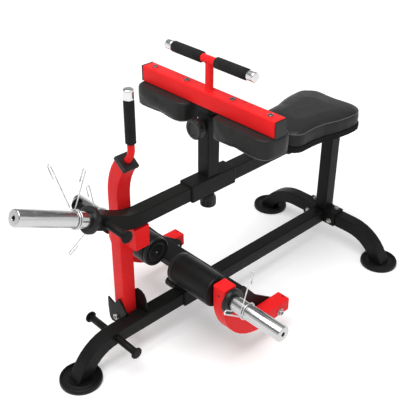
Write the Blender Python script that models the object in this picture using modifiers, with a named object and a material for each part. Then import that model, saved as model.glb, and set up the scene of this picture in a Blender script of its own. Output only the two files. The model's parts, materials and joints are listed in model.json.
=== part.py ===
"""Seated calf raise machine, in metres, +Z up, standing on z = 0.

X is the machine's width, Y runs from the front foot back to the seat, and the middle of the machine
is the plane x = 0. Left is minus X and right is plus X, as seen by someone who stands in front.
"""

import math

import bmesh
import bpy
from mathutils import Matrix, Vector

# Square tube, used for the whole frame
TUBE = 0.050
TUBE_EDGE = 0.004
WELD_GAP = 0.0003
PLATE = 0.006
SLIDE_GAP = 0.0008
SLEEVE_WALL = 0.005

# Base: one long tube, bent down at the front foot, and one cross tube at the rear
BASE_TOP = 0.132
FRONT_BEND_START_Y = -0.330
FRONT_BEND_RADIUS = 0.140
REAR_BEND_START_X = 0.140
REAR_BEND_RADIUS = 0.150
LEG_DROP_ANGLE = math.radians(62.0)
FOOT_RADIUS = 0.069
FOOT_HEIGHT = 0.018
FOOT_RIM = 0.010
FOOT_FLOOR = 0.012
REAR_TUBE_Y = 0.740
REAR_PLATE_HALF = 0.076
FOOT_EDGE = 0.003
FOOT_RIM_SLOPE = 0.002

# Seat
SEAT_POST_TOP = 0.528
SEAT_PLATE_HALF = 0.065
SEAT_PLATE_THICK = 0.005
SEAT_PLATE_FRONT_Y = 0.500
SEAT_FRONT_Y = 0.386
SEAT_REAR_Y = 0.752
SEAT_FRONT_HALF = 0.112
SEAT_WAIST_HALF = 0.111
SEAT_REAR_HALF = 0.139
SEAT_SIDE = ((0.26, 0.0), (0.42, 0.16), (0.58, 0.76), (0.72, 1.0))
SEAT_CORNER = 0.042
SEAT_REAR_CORNER = 0.064
BOARD_THICK = 0.018
BOARD_INSET = 0.002
SEAT_CUSHION_THICK = 0.056
SEAT_CROWN = 0.007
LEVER_SLOT_DEPTH = 0.8

# Section of a cushion from its back to its face: how far it stands in from its outline, and its
# height as a share of the side's height. Its back is drawn in by CUSHION_BACK.
CUSHION_BACK = 0.30
CUSHION_RINGS = ((-0.004, 0.0), (0.0, 0.06), (0.001, 0.35), (0.0, 0.80), (-0.0015, 0.90), (0.0, 0.95),
                 (-0.004, 1.0))
CROWN_EDGE = (-0.014, 0.15)
CROWN_MIDDLE = (-0.25, 1.0)

# Lever: a tube under the seat, bent up at the front, with a weight horn on its end
LEVER_Z = 0.507
LEVER_PIVOT_Y = 0.455
LEVER_REAR_Y = 0.484
LEVER_BEND_Y = -0.250
LEVER_BEND_RADIUS = 0.180
LEVER_RISE_ANGLE = math.radians(25.5)
LEVER_RISE_LENGTH = 0.130
PIVOT_BOLT_RADIUS = 0.008
PIVOT_LOBE = 0.022
PIVOT_PLATE_GAP = 0.0035
PIVOT_BOLT_HEAD = 0.0136
BOLT_HEAD = 0.0105
BOLT_HEAD_THICK = 0.007
WASHER_RADIUS = 0.014
WASHER_THICK = 0.002

# Weight horns
HORN_RADIUS = 0.025
HORN_END_CHAMFER = 0.003
HORN_HOLE_RADIUS = 0.004
HORN_HOLE_DEPTH = 0.006
SPINDLE_REACH = 0.010
SPINDLE_RECESS = 0.004
FRONT_HORN_LENGTH = 0.249
COLLAR_RADIUS = 0.042
COLLAR_FLANGE = 0.014
COLLAR_HUB_RADIUS = 0.033
COLLAR_EDGE = 0.003
FRONT_COLLAR_HUB = 0.010
SIDE_COLLAR_HUB = 0.002
SPINDLE_RADIUS = 0.0125
RUNNING_GAP = 0.0003

# Band pegs: a rod across the lever, and one across the base, with a disc on each end
PEG_RADIUS = 0.012
PEG_DISC_RADIUS = 0.0195
PEG_DISC_THICK = 0.006
PEG_DISC_EDGE = 0.002
PEG_DIMPLE = 0.003
PEG_HALF_LENGTH = 0.122
LEVER_PEG_ALONG = 0.101
BASE_PEG_Y = -0.330

# Catch: a post beside the lever that carries it on a cradle and swings out sideways. Its top leans
# towards the middle of the machine, above the lever, and carries the handle.
CATCH_X = -0.0575
CATCH_Y = -0.2295
CATCH_PIVOT_X = -0.066
CATCH_PIVOT_Z = 0.103
CATCH_FOOT = 0.018
CATCH_BEND_START_Z = 0.567
CATCH_BEND_RADIUS = 0.200
CATCH_BEND_ANGLE = math.radians(36.0)
CATCH_TIP = 0.0056
CATCH_BOLT_RADIUS = 0.006
CATCH_PLATE_GAP = 0.0025
CATCH_PLATE_LEFT = ((-0.076, 0.150), (-0.108, 0.162), (-0.109, 0.125), (-0.105, 0.080), (-0.094, 0.069),
                    (-0.068, 0.074))
CATCH_FRONT_LOBE = ((-0.015, 0.146), (-0.031, 0.164), (-0.047, 0.181), (-0.054, 0.181))
CATCH_FRONT_CORNER = 0.013
CATCH_REAR_LOBE = ((0.015, 0.160), (0.011, 0.182), (0.002, 0.198), (-0.012, 0.206), (-0.032, 0.206),
                   (-0.052, 0.190))
CATCH_REAR_CORNER = 0.015
CRADLE_BOTTOM = 0.398
CRADLE_RIGHT_X = 0.021
CRADLE_FRONT_Y = -0.237
CRADLE_REAR_Y = -0.181
CAP_HALF = 0.0285
CAP_THICK = 0.014
HANDLE_RADIUS = 0.011
HANDLE_BEND_RADIUS = 0.050
HANDLE_X = 0.013
GRIP_RADIUS = 0.016
GRIP_SHOULDER = 0.004
CATCH_GRIP_BOTTOM = 0.764
CATCH_GRIP_TOP = 0.899
CATCH_END_CAP_TOP = 0.931
END_CAP_RADIUS = 0.0152
END_CAP_EDGE = 0.0015

# Thigh pads: a carriage on the lever, a telescopic post, a bar across it and a T handle on top
PAD_Y = 0.0895
CARRIAGE_HALF_LENGTH = 0.0975
OUTER_POST_TOP = 0.752
POST_WALL = 0.003
INNER_POST_GAP = 0.0004
INNER_POST_BOTTOM = 0.560
BAR_BOTTOM = 0.7755
BAR_HEIGHT = 0.0535
BAR_DEPTH = 0.048
BAR_HALF_LENGTH = 0.291
BAR_PLUG_THICK = 0.004
PAD_INNER_X = 0.054
PAD_OUTER_X = 0.2925
PAD_HALF_DEPTH = 0.061
PAD_THICK = 0.071
PAD_CROWN = 0.006
PAD_CORNER = 0.034
T_HANDLE_Z = 0.9240
T_GRIP_START = 0.028
T_GRIP_END = 0.158
T_CAP_LENGTH = 0.028
KNOB_STEP = 0.025
KNOB_STEPS = 4
PIN_RADIUS = 0.005
PIN_BUSH_RADIUS = 0.014
PIN_BUSH_LENGTH = 0.012
HEIGHT_KNOB_Z = 0.7165
HEIGHT_KNOB_RADIUS = 0.034
HEIGHT_KNOB_THICK = 0.030
KNOB_DISH_DEPTH = 0.003
KNOB_DISH = (0.45, 0.55)
KNOB_EDGE = 0.003
KNOB_WAIST = 0.35
KNOB_FOOT = 0.72
CARRIAGE_KNOB_RADIUS = 0.0265
CARRIAGE_KNOB_THICK = 0.044
T_HANDLE_RADIUS = 0.0127
T_GRIP_RADIUS = 0.0175

# Foot unit: a carriage on the base with a footrest beam, and two swing arms with rollers and horns
FOOT_SLEEVE_FRONT_Y = -0.045
FOOT_SLEEVE_REAR_Y = 0.055
BEAM_FRONT_Y = -0.056
BEAM_REAR_Y = 0.028
BEAM_TOP = 0.242
BEAM_THICK = 0.028
ARM_INNER_X = 0.2366
ARM_VERTICAL_Y = -0.0925
ARM_TOP_Z = 0.331
ARM_LOW_Z = 0.107
ARM_BEND_RADIUS = 0.160
ARM_REAR_Y = 0.197
ARM_PIVOT_Y = 0.152
ARM_PIVOT_Z = 0.097
ARM_LOBE = 0.028
ARM_GAP = 0.0006
ARM_BOLT_RADIUS = 0.006
ARM_STOP_FRONT_Y = 0.055
ARM_STOP_REAR_Y = 0.090
SIDE_PLATE_BEND = (0.082, 0.180)
SIDE_PLATE_LAP = 0.002
SIDE_PLATE_DROP = 0.010
SIDE_HORN_Z = 0.286
SIDE_HORN_END_X = 0.499
ROLLER_INNER_X = 0.053
ROLLER_OUTER_X = 0.232
ROLLER_RADIUS = 0.052
ROLLER_CAP = 0.012
ROLLER_EDGE = 0.003
CAP_BOLT_RADIUS = 0.010
CAP_BOLT_RISE = 0.002
CAP_POCKET = (0.020, 0.005)
CAP_GROOVE = (0.024, 0.036, 0.0022)
CAP_RIM_START = 0.038
CAP_RIM_INSET = 0.001
CAP_RIM_EDGE = 0.004
CARRIAGE_PIN_Y = -0.018
CARRIAGE_PIN_RISE = 0.006
CARRIAGE_PIN_KNOB_RADIUS = 0.0175
CARRIAGE_PIN_KNOB_THICK = 0.042

# Spring clips
WIRE_RADIUS = 0.0022
CLIP_PITCH = 0.0072
CLIP_GRIP_GAP = 0.0010
CLIP_LOOP_POINTS = 20
CLIP_FOOT_BEND = 0.007
CLIP_EYE_RADIUS = 0.0062
CLIP_EYE_POINTS = 6
CLIP_RETURN = 0.036
FRONT_CLIP_REACH = 0.042
FRONT_CLIP_TURNS = 2
FRONT_CLIP_FEET = (150.0, 125.0)
FRONT_CLIP_TIPS = ((-0.010, 0.138, 0.007), (-0.103, 0.116, 0.053))
SIDE_CLIP_REACH = 0.055
SIDE_CLIP_TURNS = 1
RIGHT_CLIP_FEET = (140.0, 170.0)
RIGHT_CLIP_TIPS = ((0.016, 0.130, -0.005), (-0.123, 0.076, 0.025))
LEFT_CLIP_FEET = (150.0, 200.0)
LEFT_CLIP_TIPS = ((-0.041, 0.138, -0.005), (-0.137, -0.098, 0.010))

# Fineness of the round shapes
ROUND_STEPS = 24
DISC_STEPS = 28
BOLT_STEPS = 12
KNOB_FACETS = 20
ARC_STEP = math.radians(9.0)

HALF = TUBE / 2.0
BASE_Z = BASE_TOP - HALF
SLEEVE_IN = HALF + SLIDE_GAP
SLEEVE_OUT = SLEEVE_IN + SLEEVE_WALL

PARTS = bpy.data.collections.new("seated_calf_raise")
CUTTERS = bpy.data.collections.new("cutters")


def clear_scene():
    """Remove the scene's objects and link the two collections."""
    for item in list(bpy.data.objects):
        bpy.data.objects.remove(item, do_unlink=True)
    bpy.context.scene.collection.children.link(PARTS)
    bpy.context.scene.collection.children.link(CUTTERS)


def make_material(name, colour, roughness, metallic):
    """A plain Principled material."""
    made = bpy.data.materials.new(name)
    made.use_nodes = True
    shader = made.node_tree.nodes["Principled BSDF"]
    shader.inputs["Base Color"].default_value = (*colour, 1.0)
    shader.inputs["Roughness"].default_value = roughness
    shader.inputs["Metallic"].default_value = metallic
    made.diffuse_color = (*colour, 1.0)
    return made


FINISHES = {
    "black": ((0.022, 0.022, 0.024), 0.50, 0.0),
    "red": ((0.62, 0.018, 0.022), 0.32, 0.0),
    "chrome": ((0.80, 0.80, 0.81), 0.12, 1.0),
    "steel": ((0.55, 0.55, 0.56), 0.35, 1.0),
    "vinyl": ((0.020, 0.020, 0.021), 0.55, 0.0),
    "board": ((0.030, 0.028, 0.026), 0.80, 0.0),
    "foam": ((0.018, 0.018, 0.019), 0.75, 0.0),
    "plastic": ((0.020, 0.020, 0.021), 0.42, 0.0),
    "rubber": ((0.016, 0.016, 0.016), 0.70, 0.0),
}


def finish_of(name, finish):
    """Each piece has its own material, named for the piece."""
    return make_material(name, *FINISHES[finish])


# Building blocks

def place(name, mesh, finish, matrix=None, collection=None):
    """Link a mesh as a named object."""
    made = bpy.data.objects.new(name, mesh)
    made.matrix_world = matrix or Matrix.Identity(4)
    (collection or PARTS).objects.link(made)
    if finish:
        mesh.materials.append(finish_of(name, finish))
    else:
        made.hide_render = True
        made.display_type = "WIRE"
    return made


def round_edges(item, width=TUBE_EDGE, segments=2, angle=50.0):
    """A live Bevel on the edges sharper than an angle."""
    bevel = item.modifiers.new("rounded_edges", "BEVEL")
    bevel.width = width
    bevel.segments = segments
    bevel.limit_method = "ANGLE"
    bevel.angle_limit = math.radians(angle)
    bevel.use_clamp_overlap = True
    return item


def box(name, low, high, finish=None, edge=0.0, segments=2):
    """A box between two corners, with its origin at its middle."""
    low, high = Vector(low), Vector(high)
    size = high - low
    shape = bmesh.new()
    bmesh.ops.create_cube(shape, size=1.0)
    bmesh.ops.scale(shape, vec=size, verts=shape.verts)
    mesh = bpy.data.meshes.new(name)
    shape.to_mesh(mesh)
    shape.free()
    item = place(name, mesh, finish, Matrix.Translation((low + high) / 2.0), None if finish else CUTTERS)
    if edge:
        round_edges(item, edge, segments)
    return item


def pointing(origin, axis):
    """A matrix at origin whose local Z runs along axis."""
    turn = Vector(axis).to_track_quat("Z", "Y").to_matrix().to_4x4()
    return Matrix.Translation(Vector(origin)) @ turn


def turned(name, profile, origin, axis, finish=None, steps=ROUND_STEPS):
    """A turned solid: profile is (radius, height) from the top of the axis down its outer side."""
    mesh = bpy.data.meshes.new(name)
    points = [(radius, 0.0, height) for radius, height in profile]
    edges = [(i, i + 1) for i in range(len(points) - 1)]
    mesh.from_pydata(points, edges, [])
    item = place(name, mesh, finish, pointing(origin, axis), None if finish else CUTTERS)
    screw = item.modifiers.new("turned", "SCREW")
    screw.axis = "Z"
    screw.angle = math.tau
    screw.steps = steps
    screw.render_steps = steps
    screw.use_merge_vertices = True
    screw.merge_threshold = 0.00005
    screw.use_smooth_shade = True
    return item


def rod(name, origin, axis, radius, length, finish=None, steps=ROUND_STEPS):
    """A plain round bar from origin along axis."""
    profile = [(0.0, length), (radius, length), (radius, 0.0), (0.0, 0.0)]
    return turned(name, profile, origin, axis, finish, steps)


def bolt(name, shank, low, high, head, origin, axis, washer=0.0):
    """A bolt with a round head past each end of what it clamps, and a washer under the high head."""
    top = high + washer
    profile = [(0.0, top + BOLT_HEAD_THICK), (head, top + BOLT_HEAD_THICK), (head, top)]
    if washer:
        profile += [(WASHER_RADIUS, top), (WASHER_RADIUS, high)]
    profile += [(shank, high), (shank, low), (head, low), (head, low - BOLT_HEAD_THICK),
                (0.0, low - BOLT_HEAD_THICK)]
    return turned(name, profile, origin, axis, "steel", BOLT_STEPS)


def ring_profile(inner, outer, low, high, shoulder=0.0):
    """A closed sleeve section, walked down its outer side and back up its bore."""
    if not shoulder:
        return [(inner, high), (outer, high), (outer, low), (inner, low), (inner, high)]
    return [(inner, high), (outer - shoulder, high), (outer, high - shoulder), (outer, low + shoulder),
            (outer - shoulder, low), (inner, low), (inner, high)]


def join(item, *tools):
    """Boolean unions, with the tools kept as hidden guides."""
    for tool in tools:
        step = item.modifiers.new("join", "BOOLEAN")
        step.operation = "UNION"
        step.object = tool
    return item


def cut(item, *tools):
    """Boolean differences."""
    for tool in tools:
        step = item.modifiers.new("cut", "BOOLEAN")
        step.operation = "DIFFERENCE"
        step.object = tool
    return item


PLANES = {
    "xy": Matrix(((1, 0, 0), (0, 1, 0), (0, 0, 1))),
    "yz": Matrix(((0, 0, 1), (1, 0, 0), (0, 1, 0))),
    "xz": Matrix(((1, 0, 0), (0, 0, -1), (0, 1, 0))),
}


def in_plane(plane, offset):
    """The matrix that stands a flat outline in a plane, moved along the plane's normal."""
    turn = PLANES[plane].to_4x4()
    return Matrix.Translation(turn @ Vector((0.0, 0.0, offset))) @ turn


def curve_to_mesh(curve_object, name):
    """The welded mesh of a curve object, which is removed."""
    bpy.context.view_layer.update()
    evaluated = curve_object.evaluated_get(bpy.context.evaluated_depsgraph_get())
    mesh = bpy.data.meshes.new_from_object(evaluated)
    mesh.name = name
    bpy.data.objects.remove(curve_object, do_unlink=True)
    shape = bmesh.new()
    shape.from_mesh(mesh)
    bmesh.ops.remove_doubles(shape, verts=shape.verts, dist=0.00002)
    bmesh.ops.dissolve_limit(shape, angle_limit=math.radians(0.5), verts=shape.verts, edges=shape.edges)
    bmesh.ops.recalc_face_normals(shape, faces=shape.faces)
    shape.to_mesh(mesh)
    shape.free()
    mesh.materials.clear()
    return mesh


def flat(name, outline, plane, low, high, finish=None, edge=0.0, segments=2):
    """A flat outline filled and extruded between two heights on the plane's normal."""
    data = bpy.data.curves.new(name, "CURVE")
    data.dimensions = "2D"
    data.fill_mode = "BOTH"
    data.extrude = (high - low) / 2.0
    line = data.splines.new("POLY")
    line.points.add(len(outline) - 1)
    for point, (u, v) in zip(line.points, outline):
        point.co = (u, v, 0.0, 1.0)
    line.use_cyclic_u = True
    holder = bpy.data.objects.new(name, data)
    CUTTERS.objects.link(holder)
    mesh = curve_to_mesh(holder, name)
    matrix = in_plane(plane, (low + high) / 2.0)
    item = place(name, mesh, finish, matrix, None if finish else CUTTERS)
    if edge:
        round_edges(item, edge, segments)
    return item


def round_tube(name, path, radius, finish, resolution=3):
    """A round tube along a smooth list of points, closed at both ends."""
    data = bpy.data.curves.new(name, "CURVE")
    data.dimensions = "3D"
    data.bevel_depth = radius
    data.bevel_resolution = resolution
    data.use_fill_caps = True
    line = data.splines.new("POLY")
    line.points.add(len(path) - 1)
    for point, co in zip(line.points, path):
        point.co = (*co, 1.0)
    holder = bpy.data.objects.new(name, data)
    CUTTERS.objects.link(holder)
    mesh = curve_to_mesh(holder, name)
    mesh.shade_smooth()
    mesh.set_sharp_from_angle(angle=math.radians(40.0))
    return place(name, mesh, finish, None, None if finish else CUTTERS)


def bent_path(points, radii):
    """Points and directions along straight runs joined by arcs, in a plane."""
    walked = [(Vector(points[0]), (Vector(points[1]) - Vector(points[0])).normalized())]
    for i in range(1, len(points) - 1):
        corner = Vector(points[i])
        before = (corner - Vector(points[i - 1])).normalized()
        after = (Vector(points[i + 1]) - corner).normalized()
        turn = math.atan2(before.x * after.y - before.y * after.x, before.dot(after))
        reach = radii[i - 1] * math.tan(abs(turn) / 2.0)
        side = math.copysign(1.0, turn)
        start = corner - before * reach
        centre = start + Vector((-before.y, before.x)) * side * radii[i - 1]
        count = max(2, math.ceil(abs(turn) / ARC_STEP))
        for k in range(count + 1):
            angle = turn * k / count
            arm = start - centre
            spun = Vector((arm.x * math.cos(angle) - arm.y * math.sin(angle),
                           arm.x * math.sin(angle) + arm.y * math.cos(angle)))
            heading = Vector((before.x * math.cos(angle) - before.y * math.sin(angle),
                              before.x * math.sin(angle) + before.y * math.cos(angle)))
            walked.append((centre + spun, heading))
    walked.append((Vector(points[-1]), (Vector(points[-1]) - Vector(points[-2])).normalized()))
    return walked


def bar_outline(walked, half, level_end=None, level_start=None):
    """Both edges of a bar along a path. A level end is cut flat at that height."""
    left = [point + Vector((-heading.y, heading.x)) * half for point, heading in walked]
    right = [point - Vector((-heading.y, heading.x)) * half for point, heading in walked]
    for edge in (left, right):
        if level_end is not None:
            heading = walked[-1][1]
            edge[-1] = edge[-1] + heading * ((level_end - edge[-1].y) / heading.y)
        if level_start is not None:
            heading = walked[0][1]
            edge[0] = edge[0] + heading * ((level_start - edge[0].y) / heading.y)
    return [tuple(p) for p in left] + [tuple(p) for p in reversed(right)]


def arc(centre, radius, start, stop, count):
    """Points on an arc, angles in degrees."""
    angles = [math.radians(start + (stop - start) * k / count) for k in range(count + 1)]
    return [(centre[0] + radius * math.cos(a), centre[1] + radius * math.sin(a)) for a in angles]


def pivot(name, origin):
    """An empty on a joint's axis, which its moving pieces are parented to."""
    made = bpy.data.objects.new(name, None)
    made.location = origin
    made.empty_display_size = 0.03
    PARTS.objects.link(made)
    return made


def carry(holder, *items):
    """Parent pieces to an empty and leave them where they stand."""
    for item in items:
        item.parent = holder
        item.matrix_parent_inverse = Matrix.Translation(holder.location).inverted()


# Base frame

def foot(name, x, y):
    """A round foot with a raised rim."""
    rim = FOOT_RADIUS - FOOT_RIM
    edge = FOOT_RADIUS - FOOT_EDGE
    profile = [(0.0, FOOT_FLOOR), (rim, FOOT_FLOOR), (rim + FOOT_RIM_SLOPE, FOOT_HEIGHT), (edge, FOOT_HEIGHT),
               (FOOT_RADIUS, FOOT_HEIGHT - FOOT_EDGE), (FOOT_RADIUS, FOOT_EDGE), (edge, 0.0), (0.0, 0.0)]
    return turned(name, profile, (x, y, 0.0), (0, 0, 1), "rubber", DISC_STEPS)


def drop_points(start, radius, height):
    """Where a leg that bends down from a level tube turns, and where it lands."""
    reach = radius * math.tan(LEG_DROP_ANGLE / 2.0)
    corner = start + reach
    landing = corner + (height - FOOT_FLOOR) / math.tan(LEG_DROP_ANGLE)
    return corner, landing


def base_frame():
    """The long base tube, the rear cross tube, the angle plate that joins them and the feet."""
    corner, landing = drop_points(-FRONT_BEND_START_Y, FRONT_BEND_RADIUS, BASE_Z)
    rear_end = REAR_TUBE_Y - HALF - PLATE - 2.0 * WELD_GAP
    walked = bent_path([(rear_end, BASE_Z), (-corner, BASE_Z), (-landing, FOOT_FLOOR)],
                       [FRONT_BEND_RADIUS])
    outline = bar_outline(walked, HALF, level_end=FOOT_FLOOR + WELD_GAP)
    tube = flat("base_tube", outline, "yz", -HALF, HALF, "black", TUBE_EDGE)
    cut(tube, rod("base_peg_hole", (-HALF - 0.01, BASE_PEG_Y, BASE_Z), (1, 0, 0),
                  PEG_RADIUS + WELD_GAP, TUBE + 0.02))
    foot("front_foot", 0.0, -landing)

    corner, landing = drop_points(REAR_BEND_START_X, REAR_BEND_RADIUS, BASE_Z)
    walked = bent_path([(-landing, FOOT_FLOOR), (-corner, BASE_Z), (corner, BASE_Z), (landing, FOOT_FLOOR)],
                       [REAR_BEND_RADIUS, REAR_BEND_RADIUS])
    outline = bar_outline(walked, HALF, FOOT_FLOOR + WELD_GAP, FOOT_FLOOR + WELD_GAP)
    flat("rear_leg", outline, "xz", -REAR_TUBE_Y - HALF, -REAR_TUBE_Y + HALF, "black", TUBE_EDGE)
    foot("rear_left_foot", -landing, REAR_TUBE_Y)
    foot("rear_right_foot", landing, REAR_TUBE_Y)

    front = REAR_TUBE_Y - HALF - WELD_GAP
    low = BASE_TOP + WELD_GAP
    outline = [(front - PLATE, BASE_Z - HALF), (front, BASE_Z - HALF), (front, low),
               (REAR_TUBE_Y + HALF, low), (REAR_TUBE_Y + HALF, low + PLATE), (front - PLATE, low + PLATE)]
    flat("rear_angle_plate", outline, "yz", -REAR_PLATE_HALF, REAR_PLATE_HALF, "black")


def seat_frame():
    """The seat post and the channel on top of it, which also holds the lever's pivot."""
    box("seat_post", (-HALF, REAR_TUBE_Y - HALF, BASE_TOP + PLATE + 2.0 * WELD_GAP),
        (HALF, REAR_TUBE_Y + HALF, SEAT_POST_TOP), "black", TUBE_EDGE)
    under = SEAT_POST_TOP + WELD_GAP
    top = box("seat_bracket", (-SEAT_PLATE_HALF, SEAT_PLATE_FRONT_Y, under),
              (SEAT_PLATE_HALF, REAR_TUBE_Y + HALF, under + SEAT_PLATE_THICK), "black")
    inner = HALF + PIVOT_PLATE_GAP
    lobe = arc((LEVER_PIVOT_Y, LEVER_Z), PIVOT_LOBE, 90, 270, 8)
    low = LEVER_Z - PIVOT_LOBE
    outline = lobe + [(REAR_TUBE_Y - HALF - 0.002, low), (REAR_TUBE_Y - HALF - 0.002, under + 0.002),
                      (SEAT_PLATE_FRONT_Y + 0.002, under + 0.002), (SEAT_PLATE_FRONT_Y + 0.002, under)]
    for side, name in ((-1.0, "seat_cheek_left"), (1.0, "seat_cheek_right")):
        near, far = sorted((side * inner, side * (inner + PLATE)))
        join(top, flat(name, outline, "yz", near, far))
    cut(top, rod("lever_bolt_hole", (-0.1, LEVER_PIVOT_Y, LEVER_Z), (1, 0, 0),
                 PIVOT_BOLT_RADIUS + WELD_GAP, 0.2))
    reach = inner + PLATE + WELD_GAP
    bolt("lever_pivot_bolt", PIVOT_BOLT_RADIUS, -reach, reach, PIVOT_BOLT_HEAD, (0, LEVER_PIVOT_Y, LEVER_Z),
         (1, 0, 0))


def seat_outline(inset=0.0):
    """The seat's plan: a narrow front that widens towards the rear, all corners rounded."""
    front, rear = SEAT_FRONT_Y + inset, SEAT_REAR_Y - inset
    corner = SEAT_CORNER
    front_half = SEAT_FRONT_HALF - inset
    waist = SEAT_WAIST_HALF - inset
    rear_half = SEAT_REAR_HALF - inset
    right = arc((front_half - corner, front + corner), corner, -90, 0, 4)
    for along, out in SEAT_SIDE:
        right.append((waist + (rear_half - waist) * out, front + (rear - front) * along))
    corner = SEAT_REAR_CORNER
    right += arc((rear_half - corner, rear - corner), corner, 0, 90, 5)
    left = [(-x, y) for x, y in reversed(right)]
    return right + left


def crowned(name, outline, back, height, crown, finish, upward=1.0):
    """A cushion from a flat outline: extruded and scaled ring by ring, then smoothed.

    Its back is flat, its sides swell over a short drawn-in foot, it has a welted edge round its face,
    and the face is crowned.
    """
    wide = max(p[0] for p in outline) - min(p[0] for p in outline)
    rings = list(CUSHION_RINGS)
    rings.append((CROWN_EDGE[0], 1.0 + CROWN_EDGE[1] * crown / height))
    rings.append((CROWN_MIDDLE[0] * wide, 1.0 + CROWN_MIDDLE[1] * crown / height))
    middle = Vector((sum(p[0] for p in outline), sum(p[1] for p in outline), 0.0)) / len(outline)
    shape = bmesh.new()
    size, level = 1.0 - CUSHION_BACK, 0.0
    ring = [shape.verts.new(((x - middle.x) * size, (y - middle.y) * size, 0.0)) for x, y in outline]
    top = back_face = shape.faces.new(ring)
    for inset, next_level in rings:
        next_size = 1.0 + 2.0 * inset / wide
        grown = bmesh.ops.extrude_face_region(shape, geom=[top])["geom"]
        if top is not back_face:
            bmesh.ops.delete(shape, geom=[top], context="FACES_ONLY")
        verts = [item for item in grown if isinstance(item, bmesh.types.BMVert)]
        bmesh.ops.scale(shape, vec=(next_size / size, next_size / size, 1.0), verts=verts)
        bmesh.ops.translate(shape, vec=(0.0, 0.0, (next_level - level) * height), verts=verts)
        size, level = next_size, next_level
        top = next(item for item in grown if isinstance(item, bmesh.types.BMFace))
    bmesh.ops.scale(shape, vec=(1.0, 1.0, upward), verts=shape.verts)
    bmesh.ops.translate(shape, vec=(middle.x, middle.y, back), verts=shape.verts)
    bmesh.ops.recalc_face_normals(shape, faces=shape.faces)
    mesh = bpy.data.meshes.new(name)
    shape.to_mesh(mesh)
    shape.free()
    mesh.shade_smooth()
    return place(name, mesh, finish)


def seat():
    """The seat board, with a slot under its front for the lever, and the cushion on it."""
    bottom = SEAT_POST_TOP + SEAT_PLATE_THICK + 2.0 * WELD_GAP
    board = flat("seat_board", seat_outline(BOARD_INSET), "xy", bottom, bottom + BOARD_THICK, "board")
    slot_half = HALF + PIVOT_PLATE_GAP + PLATE + 0.001
    cut(board, box("lever_slot", (-slot_half, SEAT_FRONT_Y - 0.02, bottom - 0.01),
                   (slot_half, SEAT_PLATE_FRONT_Y - 0.002, bottom + BOARD_THICK * LEVER_SLOT_DEPTH)))
    base = bottom + BOARD_THICK + WELD_GAP
    crowned("seat_cushion", seat_outline(), base, SEAT_CUSHION_THICK - SEAT_CROWN, SEAT_CROWN, "vinyl")


# Lever

def lever_front():
    """Where the lever's rising end stops, and the direction it points in."""
    along = Vector((0.0, -math.cos(LEVER_RISE_ANGLE), math.sin(LEVER_RISE_ANGLE)))
    return Vector((0.0, LEVER_BEND_Y, LEVER_Z)) + along * LEVER_RISE_LENGTH, along


def horn(name, origin, axis, length, spindle, finish="chrome"):
    """A weight horn: a turned bar with a chamfered end and a centre hole, on a thinner spindle."""
    hole = HORN_HOLE_RADIUS
    profile = [(0.0, length - HORN_HOLE_DEPTH), (hole, length - HORN_HOLE_DEPTH + hole / 2.0), (hole, length),
               (HORN_RADIUS - HORN_END_CHAMFER, length), (HORN_RADIUS, length - HORN_END_CHAMFER),
               (HORN_RADIUS, 0.0), (SPINDLE_RADIUS, 0.0), (SPINDLE_RADIUS, -spindle), (0.0, -spindle)]
    return turned(name, profile, origin, axis, finish)


def collar(name, origin, axis, hub):
    """The black plate stop at a horn's root: a flange on a hub, bored for the horn's spindle."""
    bore = SPINDLE_RADIUS + RUNNING_GAP
    high = hub + COLLAR_FLANGE
    profile = [(bore, high), (COLLAR_RADIUS - COLLAR_EDGE, high), (COLLAR_RADIUS, high - COLLAR_EDGE),
               (COLLAR_RADIUS, hub), (COLLAR_HUB_RADIUS, hub), (COLLAR_HUB_RADIUS, 0.0), (bore, 0.0),
               (bore, high)]
    return turned(name, profile, origin, axis, "plastic")


def band_peg(name, middle):
    """A rod across the machine with a disc on each end."""
    end = PEG_HALF_LENGTH
    disc = end - PEG_DISC_THICK
    rim = PEG_DISC_RADIUS
    edge = PEG_DISC_EDGE
    half = [(0.0, end - edge), (PEG_DIMPLE, end), (rim - edge, end), (rim, end - edge), (rim, disc),
            (PEG_RADIUS, disc)]
    profile = half + [(radius, -height) for radius, height in reversed(half)]
    return turned(name, profile, middle, (1, 0, 0), "black", KNOB_FACETS)


def lever():
    """The lever arm with its front horn, collar and band peg."""
    tip, along = lever_front()
    walked = bent_path([(LEVER_REAR_Y, LEVER_Z), (LEVER_BEND_Y, LEVER_Z), (tip.y, tip.z)],
                       [LEVER_BEND_RADIUS])
    arm = flat("lever_arm", bar_outline(walked, HALF), "yz", -HALF, HALF, "black", TUBE_EDGE)
    cut(arm, rod("lever_pivot_hole", (-0.05, LEVER_PIVOT_Y, LEVER_Z), (1, 0, 0),
                 PIVOT_BOLT_RADIUS + WELD_GAP, 0.1))
    peg_middle = Vector((0.0, LEVER_BEND_Y, LEVER_Z)) + along * LEVER_PEG_ALONG
    cut(arm, rod("lever_peg_hole", peg_middle - Vector((0.05, 0, 0)), (1, 0, 0), PEG_RADIUS + WELD_GAP, 0.1))
    collar_length = COLLAR_FLANGE + FRONT_COLLAR_HUB
    spindle = collar_length + SPINDLE_REACH
    collar_root = tip + along * WELD_GAP
    front_collar = collar("front_collar", collar_root, along, FRONT_COLLAR_HUB)
    horn_root = collar_root + along * (collar_length + WELD_GAP)
    front_horn = horn("front_horn", horn_root, along, FRONT_HORN_LENGTH, spindle)
    socket = rod("front_horn_socket", tip - along * 0.012, along, SPINDLE_RADIUS + WELD_GAP, 0.03)
    cut(arm, socket)
    peg = band_peg("lever_band_peg", peg_middle)
    holder = pivot("lever_pivot", (0.0, LEVER_PIVOT_Y, LEVER_Z))
    carry(holder, arm, front_collar, front_horn, peg)
    clip("front_clip", horn_root + along * FRONT_CLIP_REACH, along, (1, 0, 0), FRONT_CLIP_FEET,
         FRONT_CLIP_TIPS, FRONT_CLIP_TURNS, 1.0)
    return holder


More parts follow.
